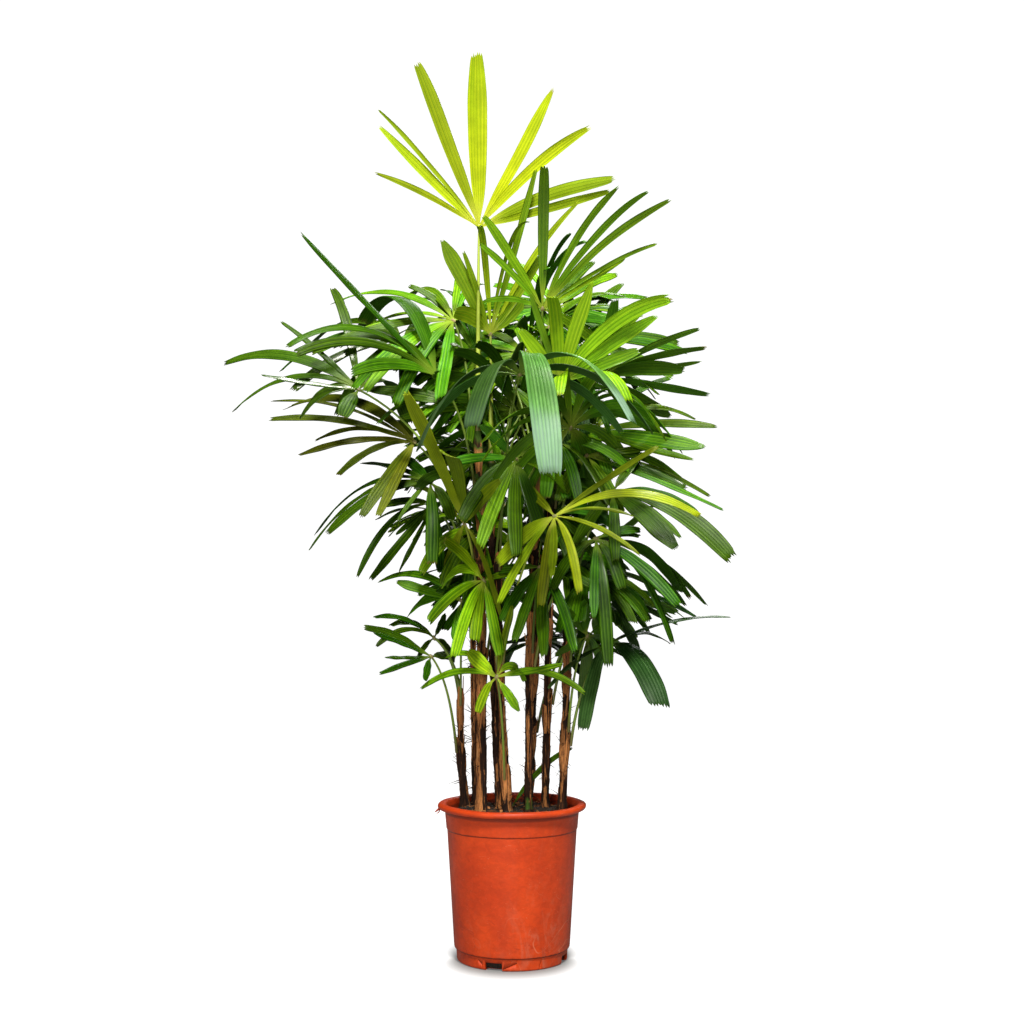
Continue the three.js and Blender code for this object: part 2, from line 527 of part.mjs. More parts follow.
// ---- keeping fronds clear of each other ---------------------------------------------------
// A piece ready for testing: its box, its faces and its edges.
function testPiece(geometry) {
  geometry.computeBoundingBox();
  const place = geometry.attributes.position;
  const index = geometry.index.array;
  const corner = (i) => vector().fromBufferAttribute(place, index[i]);
  const faces = [];
  const edges = [];
  for (let i = 0; i < index.length; i += 3) {
    faces.push([corner(i), corner(i + 1), corner(i + 2)]);
    for (let j = 0; j < 3; j++) {
      const [from, to] = [i + j, i + (j + 1) % 3];
      if (index[from] < index[to]) edges.push([corner(from), corner(to)]);
    }
  }
  return { box: geometry.boundingBox, faces, edges };
}

function edgesPierce(edges, faces, box) {
  const ray = new THREE.Ray();
  const hit = vector();
  const span = new THREE.Box3();
  return edges.some(([from, to]) => {
    if (!span.setFromPoints([from, to]).intersectsBox(box)) return false;
    const length = from.distanceTo(to);
    ray.origin.copy(from);
    ray.direction.copy(to).sub(from).divideScalar(length);
    return faces.some(([a, b, c]) => (
      ray.intersectTriangle(a, b, c, false, hit) !== null && hit.distanceTo(from) <= length
    ));
  });
}

function isClear(piece, others) {
  return !others.some((other) => piece.box.intersectsBox(other.box)
    && (edgesPierce(piece.edges, other.faces, other.box)
      || edgesPierce(other.edges, piece.faces, piece.box)));
}

// ---- putting the plant together -----------------------------------------------------------
const finishes = {
  pot: { color: 0xc2512c, roughness: 0.5 },
  soil: { color: 0x2a1f18, roughness: 0.95 },
  cane: { color: 0x5a3f2a, roughness: 0.85 },
  young: { color: 0x9ac41f, roughness: 0.4 },
  green: { color: 0x4f961d, roughness: 0.4 },
  deep: { color: 0x2a661b, roughness: 0.35 },
  olive: { color: 0x738c26, roughness: 0.45 },
};
const plant = new THREE.Group();

function addPiece(name, geometry, finish) {
  const material = new THREE.MeshStandardMaterial({ ...finishes[finish], metalness: 0 });
  const mesh = new THREE.Mesh(geometry, material);
  mesh.name = name;
  plant.add(mesh);
}

// A back frond stands on one of the back canes, in a direction of its own.
function backFrond(index) {
  const share = (index + 0.5) / backFronds;
  const sweep = (index * goldenStep + goldenStart) % 1;
  const turn = mix(...backSweep, sweep);
  const reach = mix(...backReach, chance(backSeed, index)) * (1 - backTaper * share);
  const hub = [
    reach * Math.cos(radians(turn)), backMiddle + reach * Math.sin(radians(turn)),
    mix(...backHeights, share),
  ];
  return {
    ...backFan, hub, turn, cane: backCanes[sweep < 0.5 ? 0 : 1],
    rise: mix(...backRise, share), lean: backLean,
    length: backFan.length * mix(...backLength, share),
    tint: backTints[index % backTints.length],
  };
}

const ringsOfCane = {};
for (const [name, cane] of Object.entries(canes)) ringsOfCane[name] = caneRingsOf(cane);

const fronds = [...shownFronds];
for (let i = 0; i < backFronds; i++) fronds.push(backFrond(i));

const caneTests = Object.values(ringsOfCane).map((rings) => testPiece(caneGeometry(rings)));
const placedTests = [...caneTests];

// Where a petiole starts: on the tip of its cane, or on the side of it that faces the hub.
function petioleFoot(frond, hub, lower) {
  const rings = ringsOfCane[frond.cane];
  const tip = rings[rings.length - 1];
  if (frond.onTip) {
    return { foot: tip.middle.clone().setZ(tip.middle.z + clearance), inward: vector(1, 0, 0) };
  }
  const away = Math.hypot(hub.x - tip.middle.x, hub.y - tip.middle.y);
  const [drop, dropByReach] = footDrop;
  const wanted = hub.z - drop - dropByReach * away;
  const height = Math.min(wanted, tip.middle.z - footBelowTip) - lower;
  const { middle, radius } = caneAt(rings, Math.max(height, soilTop + footAboveSoil));
  const outward = hub.clone().sub(middle).setZ(0).normalize();
  const foot = middle.clone().addScaledVector(outward, radius + petioleRadius + clearance);
  return { foot, inward: outward.negate() };
}

const petioleTries = [0, 12, -12, 24, -24, 36, -36, 48]; // sideways sway of its middle
const lowerTries = [0, 25, 50, 80, 110, -20]; // how much lower it leaves the cane

function placePetiole(frond) {
  const hub = vector(...frond.hub);
  for (const lower of lowerTries) {
    for (const sway of petioleTries) {
      const { foot, inward } = petioleFoot(frond, hub, lower);
      const points = petiolePoints(foot, hub, sway);
      const piece = testPiece(petioleGeometry(points, inward, petioleGap));
      if (isClear(piece, placedTests)) return petioleGeometry(points, inward);
    }
  }
  throw new Error(`no room for the petiole to the hub at ${frond.hub}`);
}

// Small changes to a leaflet, tried in turn where it has no room.
const leafletTries = [
  { turn: 0, droop: 0, length: 1, slim: 1 }, { turn: 0, droop: 0, length: 1, slim: 0.7 },
  { turn: 0, droop: 0, length: 1, slim: 0.45 }, { turn: 4, droop: 0.12, length: 1, slim: 0.95 },
  { turn: -4, droop: -0.12, length: 1, slim: 0.95 },
  { turn: 6, droop: -0.25, length: 0.94, slim: 0.85 },
  { turn: -6, droop: 0.25, length: 0.94, slim: 0.85 },
  { turn: 0, droop: 0.5, length: 0.86, slim: 0.8 },
  { turn: 0, droop: -0.4, length: 0.78, slim: 0.75 },
  { turn: 3, droop: 0.2, length: 0.6, slim: 0.7 },
];

// The first of these that touches nothing, or null.
function placeLeaflet(hub, axes, leaflet, lowestAngle, others, fellows) {
  for (const change of leafletTries) {
    const tried = {
      ...leaflet,
      angle: leaflet.angle + change.turn,
      droop: Math.max(0, leaflet.droop + change.droop),
      length: leaflet.length * change.length,
      width: leaflet.width * change.slim,
    };
    if (tried.angle < lowestAngle) continue;
    if (isClear(leafletTest(hub, axes, tried, leafletGap), others)
      && isClear(leafletTest(hub, axes, tried, fellowGap), fellows)) return tried;
  }
  return null;
}

addPiece('pot', potGeometry(), 'pot');
addPiece('soil', soilGeometry(), 'soil');
for (const [name, rings] of Object.entries(ringsOfCane)) {
  addPiece(`cane_${name}`, facingOut(caneGeometry(rings)), 'cane');
}

// Petioles and hubs first, then the leaflets of one frond after another.
const petioles = fronds.map((frond) => {
  const petiole = placePetiole(frond);
  placedTests.push({ ...testPiece(petiole), frond }, { ...hubTest(vector(...frond.hub)), frond });
  return petiole;
});
fronds.forEach((frond, number) => {
  const hub = vector(...frond.hub);
  const axes = fanAxes(frond);
  const others = placedTests.filter((piece) => piece.frond !== frond);
  const fellows = [];
  const kept = [];
  let lowestAngle = lowestStart;
  for (const leaflet of leafletsOf(frond, number + 1)) {
    const placed = placeLeaflet(hub, axes, leaflet, lowestAngle, others, fellows);
    if (!placed) continue;
    lowestAngle = placed.angle + smallestStep;
    fellows.push(leafletTest(hub, axes, placed, 0));
    kept.push(leafletRings(hub, axes, placed));
  }
  fellows.forEach((piece) => placedTests.push({ ...piece, frond }));
  const fan = toSolid(fanGeometry(hub, axes, kept));
  const solid = fan.add(toSolid(petioles[number]));
  addPiece(`frond_${String(number + 1).padStart(2, '0')}`, toGeometry(solid), frond.tint);
});

export default plant;
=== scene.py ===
import json
import math
import bpy
import numpy as np
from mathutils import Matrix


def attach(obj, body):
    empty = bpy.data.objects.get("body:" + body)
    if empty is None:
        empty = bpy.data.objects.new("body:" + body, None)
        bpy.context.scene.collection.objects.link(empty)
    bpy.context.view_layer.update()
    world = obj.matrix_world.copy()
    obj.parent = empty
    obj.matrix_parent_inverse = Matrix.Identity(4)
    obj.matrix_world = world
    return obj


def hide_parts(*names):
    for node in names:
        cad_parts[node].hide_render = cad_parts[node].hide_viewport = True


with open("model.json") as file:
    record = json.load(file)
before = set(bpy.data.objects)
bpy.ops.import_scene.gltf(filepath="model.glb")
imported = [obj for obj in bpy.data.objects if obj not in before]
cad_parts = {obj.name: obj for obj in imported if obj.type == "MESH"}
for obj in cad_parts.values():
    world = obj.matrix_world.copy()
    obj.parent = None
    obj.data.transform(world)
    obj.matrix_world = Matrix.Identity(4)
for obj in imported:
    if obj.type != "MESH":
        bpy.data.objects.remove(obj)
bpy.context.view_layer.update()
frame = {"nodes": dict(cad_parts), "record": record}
print("frame loaded:", len(frame["nodes"]), "nodes")

mm = 0.001
up = np.array([0.0, 0.0, 1.0])
slotOf = {part["node"]: part["material_slot"] for part in frame["record"]["subparts"]}


def mix(a, b, share):
    return a + (b - a) * share


def unit(v):
    return v / np.linalg.norm(v, axis=-1, keepdims=True)


def vector(*values):
    return np.array(values, float)


def chance(a, b):  # a repeatable number from 0 to 1, the same one that the fronds grow by
    wave = math.sin(a * 12.9898 + b * 78.233) * 43758.5453
    return wave - math.floor(wave)


def easeIn(share):
    share = np.clip(share, 0, 1)
    return share * share * (3 - 2 * share)


def softNoise(x, y, seed, wrap=0):  # smooth noise from -1 to 1; y repeats after wrap steps
    x, y = np.broadcast_arrays(np.asarray(x, float), np.asarray(y, float))
    column, row = np.floor(x), np.floor(y)
    fx, fy = easeIn(x - column), easeIn(y - row)

    def corner(dx, dy):
        r = np.mod(row + dy, wrap) if wrap else row + dy
        wave = np.sin((column + dx) * 127.1 + r * 311.7 + seed * 74.7) * 43758.5453
        return wave - np.floor(wave)

    low = mix(corner(0, 0), corner(1, 0), fx)
    high = mix(corner(0, 1), corner(1, 1), fx)
    return mix(low, high, fy) * 2 - 1


class Heap:  # points in mm, with a pattern place and a tone for each
    def __init__(self):
        self.points, self.quads, self.tris, self.places, self.tones = [], [], [], [], []
        self.count = 0

    def add(self, points, quads, tris=None, places=None, tone=(0.5, 0, 0, 0)):
        size = len(points)
        self.points.append(points)
        self.quads.append(np.asarray(quads, int).reshape(-1, 4) + self.count)
        self.tris.append(np.asarray([] if tris is None else tris, int).reshape(-1, 3) + self.count)
        self.places.append(np.zeros((size, 2)) if places is None else places)
        self.tones.append(np.broadcast_to(np.asarray(tone, float), (size, 4)))
        self.count += size


def makePiece(name, heap, material, nodes=(), sharpAngle=50):
    quads, tris = np.concatenate(heap.quads), np.concatenate(heap.tris)
    corners = np.concatenate([quads.ravel(), tris.ravel()])
    starts = np.concatenate([np.arange(len(quads)) * 4, quads.size + np.arange(len(tris)) * 3])
    mesh = bpy.data.meshes.new(name)
    mesh.vertices.add(heap.count)
    mesh.vertices.foreach_set("co", (np.concatenate(heap.points) * mm).ravel())
    mesh.loops.add(len(corners))
    mesh.loops.foreach_set("vertex_index", corners.astype(np.int32))
    mesh.polygons.add(len(starts))
    mesh.polygons.foreach_set("loop_start", starts.astype(np.int32))
    mesh.polygons.foreach_set("use_smooth", np.ones(len(starts), bool))
    placeLayer = mesh.uv_layers.new(name="growth")
    placeLayer.data.foreach_set("uv", np.concatenate(heap.places)[corners].ravel())
    toneLayer = mesh.attributes.new("tone", "FLOAT_COLOR", "POINT")
    toneLayer.data.foreach_set("color", np.concatenate(heap.tones).ravel())
    mesh.update(calc_edges=True)
    mesh.validate()
    mesh.set_sharp_from_angle(angle=math.radians(sharpAngle))
    mesh.materials.append(material)
    piece = addObject(name, mesh)
    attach(piece, "root")
    if nodes:
        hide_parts(*nodes)
    print("made", name, "with", len(quads) * 2 + len(tris), "triangles")
    return piece


def gridQuads(rows, columns, around=False):
    rows0 = np.arange(rows - 1)[:, None]
    columns0 = np.arange(columns if around else columns - 1)[None, :]
    after = (columns0 + 1) % columns
    a, b = rows0 * columns + columns0, rows0 * columns + after
    return np.stack([a, b, b + columns, a + columns], -1).reshape(-1, 4)


def shellQuads(rows, columns):  # two grids, one over the other, closed along their edges
    size = rows * columns
    top = gridQuads(rows, columns)
    rim = [c for c in range(columns)] + [r * columns + columns - 1 for r in range(1, rows)]
    rim += [(rows - 1) * columns + c for c in range(columns - 2, -1, -1)]
    rim += [r * columns for r in range(rows - 2, 0, -1)]
    rim = np.array(rim)
    after = np.roll(rim, -1)
    edge = np.stack([rim, rim + size, after + size, after], -1)
    return np.concatenate([top, top[:, ::-1] + size, edge])


def fullTurn(sides):
    return np.linspace(0, 2 * math.pi, sides, endpoint=False)


def levelWays(turn):  # level directions at these angles
    return np.stack([np.cos(turn), np.sin(turn), np.zeros_like(turn)], -1)


def capTris(rows, sides):  # they close a tube with the two points that follow its rings
    around, last = np.arange(sides), rows * sides
    after = (around + 1) % sides
    return np.concatenate([
        np.stack([np.full(sides, last), after, around], -1),
        np.stack([np.full(sides, last + 1), last - sides + around, last - sides + after], -1)])


def tube(path, radii, sides, flat=1.0, across=None):  # closed, round or oval
    way = unit(np.gradient(path, axis=0))
    hint = vector(1, 0, 0) if across is None else across
    first = unit(hint - (way @ hint)[:, None] * way)
    second = np.cross(way, first)
    turn = fullTurn(sides)
    ring = (first[:, None] * np.cos(turn)[None, :, None]
            + second[:, None] * np.sin(turn)[None, :, None] * flat)
    points = path[:, None] + ring * np.asarray(radii, float)[:, None, None]
    points = np.concatenate([points.reshape(-1, 3), path[:1], path[-1:]])
    length = np.concatenate([[0], np.cumsum(np.linalg.norm(np.diff(path, axis=0), axis=1))])
    places = np.stack(np.broadcast_arrays(turn[None, :] / (2 * math.pi), length[:, None]), -1)
    places = np.concatenate([places.reshape(-1, 2), [[0, 0], [0, length[-1]]]])
    return points, gridQuads(len(path), sides, around=True), capTris(len(path), sides), places


def addObject(name, data):
    thing = bpy.data.objects.new(name, data)
    bpy.context.scene.collection.objects.link(thing)
    return thing


class Wires:  # short names for the nodes that the materials share
    def __init__(self, tree):
        self.tree = tree

    def node(self, kind, inputs=(), **settings):
        node = self.tree.nodes.new(kind)
        for name, value in settings.items():
            setattr(node, name, value)
        for name, value in dict(inputs).items():
            self.feed(node.inputs[name], value)
        return node

    def feed(self, socket, value):
        if isinstance(value, bpy.types.NodeSocket):
            self.tree.links.new(value, socket)
        else:
            socket.default_value = value

    def math(self, operation, a, b=0.0, clamp=False):
        node = self.node("ShaderNodeMath", operation=operation, use_clamp=clamp)
        self.feed(node.inputs[0], a)
        self.feed(node.inputs[1], b)
        return node.outputs[0]

    def times(self, a, b, clamp=False):
        return self.math("MULTIPLY", a, b, clamp)

    def plus(self, a, b):
        return self.math("ADD", a, b)

    def minus(self, a, b):
        return self.math("SUBTRACT", a, b)

    def greater(self, a, b):
        return self.math("MAXIMUM", a, b)

    def fract(self, a):
        return self.math("FRACT", a)

    def absolute(self, a):
        return self.math("ABSOLUTE", a)

    def blend(self, share, a, b):
        node = self.node("ShaderNodeMix", data_type="RGBA")
        self.feed(node.inputs[0], share)
        self.feed(node.inputs[6], a)
        self.feed(node.inputs[7], b)
        return node.outputs[2]

    def between(self, value, low, high, start=0.0, end=1.0):
        node = self.node("ShaderNodeMapRange", interpolation_type="SMOOTHSTEP")
        for index, number in enumerate((value, low, high, start, end)):
            self.feed(node.inputs[index], number)
        return node.outputs[0]

    def noise(self, place, scale, detail=2.0, roughness=0.5, distortion=0.0):
        node = self.node("ShaderNodeTexNoise", {
            "Vector": place, "Scale": scale, "Detail": detail,
            "Roughness": roughness, "Distortion": distortion})
        return node.outputs[0]

    def stretched(self, place, size):
        return self.node("ShaderNodeMapping", {"Vector": place, "Scale": size}).outputs[0]

    def joined(self, x, y, z=0.0):
        return self.node("ShaderNodeCombineXYZ", {"X": x, "Y": y, "Z": z}).outputs[0]

    def shaded(self, colour, value, hue=0.5):
        return self.node("ShaderNodeHueSaturation", {
            "Color": colour, "Value": value, "Hue": hue}).outputs[0]

    def apart(self, socket):
        return self.node("ShaderNodeSeparateXYZ", {"Vector": socket}).outputs

    def tone(self):
        colour = self.node("ShaderNodeAttribute", attribute_name="tone")
        split = self.node("ShaderNodeSeparateColor", {"Color": colour.outputs["Color"]})
        return split.outputs[0], split.outputs[1], split.outputs[2], colour.outputs["Alpha"]

    def place(self):
        return self.node("ShaderNodeUVMap", uv_map="growth").outputs[0]

    def solid(self):
        return self.node("ShaderNodeTexCoord").outputs["Object"]


def newGroup(name, inputs, outputs):
    group = bpy.data.node_groups.new(name, "ShaderNodeTree")
    for title, kind, value in inputs:
        socket = group.interface.new_socket(title, in_out="INPUT", socket_type=kind)
        socket.default_value = value
    for title, kind in outputs:
        group.interface.new_socket(title, in_out="OUTPUT", socket_type=kind)
    wires = Wires(group)
    return group, wires, wires.node("NodeGroupInput").outputs, wires.node("NodeGroupOutput").inputs


def newMaterial(name):
    material = bpy.data.materials.new(name)
    material.use_nodes = True
    return material, Wires(material.node_tree), material.node_tree.nodes["Principled BSDF"]


def finishSkin(wires, shader, colour, rough, height, strength, distance):
    wires.feed(shader.inputs["Base Color"], colour)
    wires.feed(shader.inputs["Roughness"], rough)
    bump = wires.node("ShaderNodeBump", {
        "Strength": strength, "Distance": distance, "Height": height})
    wires.feed(shader.inputs["Normal"], bump.outputs[0])


colourKind, numberKind = "NodeSocketColor", "NodeSocketFloat"


def leafSurfaceGroup():
    group, wires, given, out = newGroup("leafSurface", [
        ("Base", colourKind, (0.05, 0.2, 0.02, 1)), ("FoldShade", colourKind, (0.02, 0.1, 0.01, 1)),
        ("VeinAndGlow", colourKind, (0.2, 0.4, 0.05, 1)), ("Under", colourKind, (0.1, 0.25, 0.05, 1)),
        ("Root", colourKind, (0.4, 0.45, 0.12, 1)), ("Tip", colourKind, (0.05, 0.2, 0.02, 1)),
        ("Dry", colourKind, (0.22, 0.13, 0.045, 1)),
        ("Streaks", numberKind, 0.35), ("Gloss", numberKind, 0.3),
        ("Wax", numberKind, 0.5), ("Waxed", numberKind, 0.2), ("PaintedSheen", numberKind, 0.0),
    ], [("Color", colourKind), ("Roughness", numberKind), ("Coat", numberKind),
        ("Height", numberKind)])
    across, along, _ = wires.apart(wires.place())
    tone, under, share, dry = wires.tone()
    fromRidge = wires.absolute(wires.minus(wires.fract(across), 0.5))
    fold = wires.between(fromRidge, 0.33, 0.48)
    fromLine = wires.absolute(wires.minus(wires.fract(wires.times(across, 3.0)), 0.5))
    finer = wires.times(wires.between(fromLine, 0.20, 0.05), 0.6)  # three fine lines to a fold
    # lighter lines on the ridges: the ribs' own paler colour, with a painted highlight along each
    # ridge
    ridge = wires.greater(wires.between(fromRidge, 0.14, 0.03), finer)
    streakPlace = wires.joined(
        wires.times(across, 2.2), wires.times(along, 0.05), wires.times(tone, 37.0))
    streak = wires.noise(streakPlace, 1.0, detail=3.0, roughness=0.65)
    veins = wires.math("SINE", wires.times(across, 2 * math.pi * 5))
    mottle = wires.noise(wires.solid(), 30.0, detail=3.0, roughness=0.6)
    tip = wires.times(wires.between(share, 0.3, 0.95), 0.75)
    colour = wires.blend(tip, given["Base"], given["Tip"])
    sunlit = wires.between(tone, 0.62, 1.0, 0.0, 0.3)  # painted light: some leaflets are lightened, as if more light came through them
    colour = wires.blend(sunlit, colour, given["VeinAndGlow"])
    # painted shade: the valleys of the folds are darkened
    colour = wires.blend(wires.times(fold, 0.5), colour, given["FoldShade"])
    pale = wires.times(wires.between(streak, 0.42, 0.75), given["Streaks"])
    ridge = wires.times(ridge, wires.between(streak, 0.3, 0.6, 0.35, 0.95))
    colour = wires.blend(wires.greater(pale, ridge), colour, given["VeinAndGlow"])
    shade = wires.between(mottle, 0.3, 0.75, 0.78, 1.18)
    shade = wires.times(shade, wires.between(tone, 0.0, 1.0, 0.46, 1.40))
    shade = wires.plus(shade, wires.times(veins, 0.06))
    hue = wires.between(wires.fract(wires.times(tone, 5.3)), 0.0, 1.0, 0.474, 0.507)
    colour = wires.shaded(colour, shade, hue)
    colour = wires.blend(wires.times(under, 0.4), colour, given["Under"])
    colour = wires.blend(wires.between(share, 0.2, 0.0, 0.0, 0.8), colour, given["Root"])
    edge = wires.plus(share, wires.times(streak, 0.12))
    dried = wires.times(wires.between(edge, 1.03, 1.08), dry)
    colour = wires.blend(dried, colour, given["Dry"])
    paintedSheenEdge = wires.times(wires.noise(wires.solid(), 13.0, 1.0, 0.4, 0.5), 0.7)
    paintedSheen = wires.between(wires.plus(share, paintedSheenEdge), 0.98, 1.24)  # painted sheen: a white reflection painted on old leaves
    paintedSheen = wires.times(paintedSheen, wires.between(streak, 0.3, 0.65, 1.0, 0.45))
    paintedSheen = wires.times(paintedSheen, wires.between(tone, 0.3, 0.85, 0.15, 1.0))
    paintedSheen = wires.times(paintedSheen, wires.minus(given["PaintedSheen"], under), True)
    colour = wires.blend(paintedSheen, colour, (0.40, 0.54, 0.52, 1))
    rough = wires.between(streak, 0.2, 0.8, -0.05, 0.09)
    rough = wires.plus(rough, wires.times(under, 0.18))
    other = wires.fract(wires.times(tone, 9.7))
    waxed = wires.between(other, wires.minus(1.0, given["Waxed"]), 1.0, 0.03, 1.0)
    wires.feed(out["Color"], colour)
    wires.feed(out["Roughness"], wires.plus(rough, given["Gloss"]))
    wires.feed(out["Coat"], wires.times(waxed, given["Wax"]))
    relief = wires.minus(wires.times(streak, 0.3), fold)
    wires.feed(out["Height"], wires.plus(relief, wires.times(veins, 0.12)))
    return group


leafInputs = ("Base", "FoldShade", "VeinAndGlow", "Under", "Root", "Tip", "Gloss", "Wax", "Waxed", "PaintedSheen")
leafShades = {  # what the group above is given: six linear colours and four numbers
    # young and fresh: the young leaves' own yellow-green, made lighter still with painted light
    # from behind
    "young": ((0.330, 0.480, 0.002), (0.085, 0.230, 0.001), (0.68, 0.74, 0.015),
              (0.30, 0.44, 0.006), (0.62, 0.66, 0.06), (0.085, 0.270, 0.001),
              0.42, 0.2, 0.15, 0),
    "fresh": ((0.150, 0.350, 0.002), (0.028, 0.125, 0.001), (0.55, 0.66, 0.02),
              (0.22, 0.40, 0.010), (0.46, 0.54, 0.05), (0.065, 0.230, 0.001),
              0.40, 0.5, 0.25, 0),
    "green": ((0.034, 0.185, 0.001), (0.006, 0.048, 0.0004), (0.22, 0.46, 0.008),
              (0.06, 0.18, 0.005), (0.26, 0.36, 0.03), (0.028, 0.140, 0.001),
              0.40, 0.6, 0.2, 0),
    # bright: a lighter copy of the green, painted light for leaves lit from above and behind
    "bright": ((0.095, 0.300, 0.001), (0.015, 0.085, 0.0004), (0.42, 0.62, 0.014),
               (0.12, 0.29, 0.006), (0.38, 0.48, 0.04), (0.050, 0.210, 0.001),
               0.40, 0.6, 0.2, 0),
    "deep": ((0.014, 0.092, 0.001), (0.002, 0.022, 0.0003), (0.12, 0.32, 0.006),
             (0.035, 0.11, 0.004), (0.16, 0.26, 0.02), (0.014, 0.080, 0.001),
             0.38, 0.7, 0.2, 0),
    # blue: its last number paints a faint white sheen
    "blue": ((0.018, 0.085, 0.012), (0.005, 0.032, 0.003), (0.11, 0.26, 0.06),
             (0.05, 0.14, 0.025), (0.16, 0.26, 0.03), (0.022, 0.100, 0.012),
             0.38, 0.6, 0.25, 0.06),
    # silver: dark green under a strong painted white sheen, its last number
    "silver": ((0.009, 0.058, 0.005), (0.003, 0.020, 0.002), (0.08, 0.21, 0.04),
               (0.05, 0.14, 0.025), (0.16, 0.26, 0.03), (0.022, 0.100, 0.012),
               0.36, 0.8, 0.4, 0.42),
    # shadow: a darker copy of the green, painted shade for fronds deep inside the crown
    "shadow": ((0.009, 0.052, 0.001), (0.002, 0.014, 0.0003), (0.05, 0.16, 0.004),
               (0.018, 0.055, 0.003), (0.06, 0.11, 0.01), (0.008, 0.042, 0.001),
               0.36, 0.5, 0.2, 0),
    "olive": ((0.075, 0.115, 0.003), (0.020, 0.034, 0.001), (0.24, 0.30, 0.012),
              (0.070, 0.090, 0.005), (0.24, 0.26, 0.03), (0.050, 0.110, 0.002),
              0.42, 0.3, 0.2, 0),
    "gold": ((0.115, 0.205, 0.002), (0.035, 0.070, 0.001), (0.34, 0.44, 0.012),
             (0.14, 0.21, 0.006), (0.40, 0.46, 0.04), (0.125, 0.215, 0.002),
             0.44, 0.15, 0.2, 0),
}
leafGroup = leafSurfaceGroup()


def leafMaterial(name):
    material, wires, shader = newMaterial("leaf_" + name)
    surface = wires.node("ShaderNodeGroup", node_tree=leafGroup)
    for title, value in zip(leafInputs, leafShades[name]):
        surface.inputs[title].default_value = value if np.isscalar(value) else (*value, 1)
    finishSkin(wires, shader, surface.outputs["Color"], surface.outputs["Roughness"],
               surface.outputs["Height"], 0.5, 0.0006)
    wires.feed(shader.inputs["Coat Weight"], surface.outputs["Coat"])
    shader.inputs["Specular IOR Level"].default_value = 0.1
    shader.inputs["Coat Roughness"].default_value = 0.24
    return material


# the fronds grow by the same rule as the solids
growth = {
    "soilTop": 238, "clearance": 0.3,
    "caneRings": 6, "flareLength": 28, "flareGain": 0.35,
    "petioleRadius": 2.6, "petioleSteps": 4, "petioleBend": (0.25, 0.75),
    "footDrop": (110, 0.8), "footBelowTip": 14, "footAboveSoil": 40,
    "hubReach": 9, "ribDepth": 3, "spineSteps": 24,
    "rootShare": 0.04,
    "rollRange": 26, "handRoll": 0.3,
    "sways": (0, 12, -12, 24, -24, 36, -36, 48), "lowers": (0, 25, 50, 80, 110, -20),
    "middleLength": (1.04, 0.48),  # of a fan's middle leaflet, and how much less at its edges
    "lengths": (0.84, 1.1), "widths": (0.62, 1.16), "angles": 0.5,
    "droops": (0.7, 1.3), "narrowings": (0.35, 0.75),
    # for each try, the turn and droop that are added and the shares of length and width
    "tries": ((0, 0, 1, 1), (4, 0.12, 1, 0.95), (-4, -0.12, 1, 0.95), (6, -0.25, 0.94, 0.85),
              (-6, 0.25, 0.94, 0.85), (0, 0.5, 0.86, 0.8), (0, -0.4, 0.78, 0.75),
              (3, 0.2, 0.6, 0.7)),
}

canes = {  # foot, sideways bend halfway up, tip, radius at foot and tip
    "leftShort": ((-76, 22), (-3, 0), (-84, 26, 420), (8, 4.5)),
    "leftSlim": ((-60, 34), (0, 0), (-66, 30, 640), (6, 4.5)),
    "tall": ((-50, -14), (3, 0), (-55, -12, 850), (9.2, 5.6)),
    "inner": ((-19, -2), (-4, 3), (-34, 12, 800), (8, 5.5)),
    "front": ((-6, -34), (-4, 4), (-22, -36, 640), (7.5, 5)),
    "bent": ((27, -36), (-6, 0), (44, -42, 790), (7.5, 5.5)),
    "right": ((54, 14), (0, -2), (62, 4, 740), (7.5, 5.5)),
    "rightOuter": ((80, -10), (2, 0), (88, -16, 560), (8, 5)),
    "backLeft": ((-14, 54), (-4, 4), (-24, 66, 760), (8, 5.5)),
    "backRight": ((27, 50), (2, 2), (46, 62, 820), (7.5, 5.5)),
}


def frond(shade, cane, hub, turn, rise, droop, lean=0, cup=0, onTip=False, blades=None,
          spread=0, count=0, length=0, width=0):
    return {"shade": shade, "cane": cane, "hub": vector(*hub), "turn": turn, "rise": rise,
            "droop": droop, "lean": lean, "cup": cup, "onTip": onTip, "blades": blades,
            "spread": spread, "count": count, "length": length, "width": width}


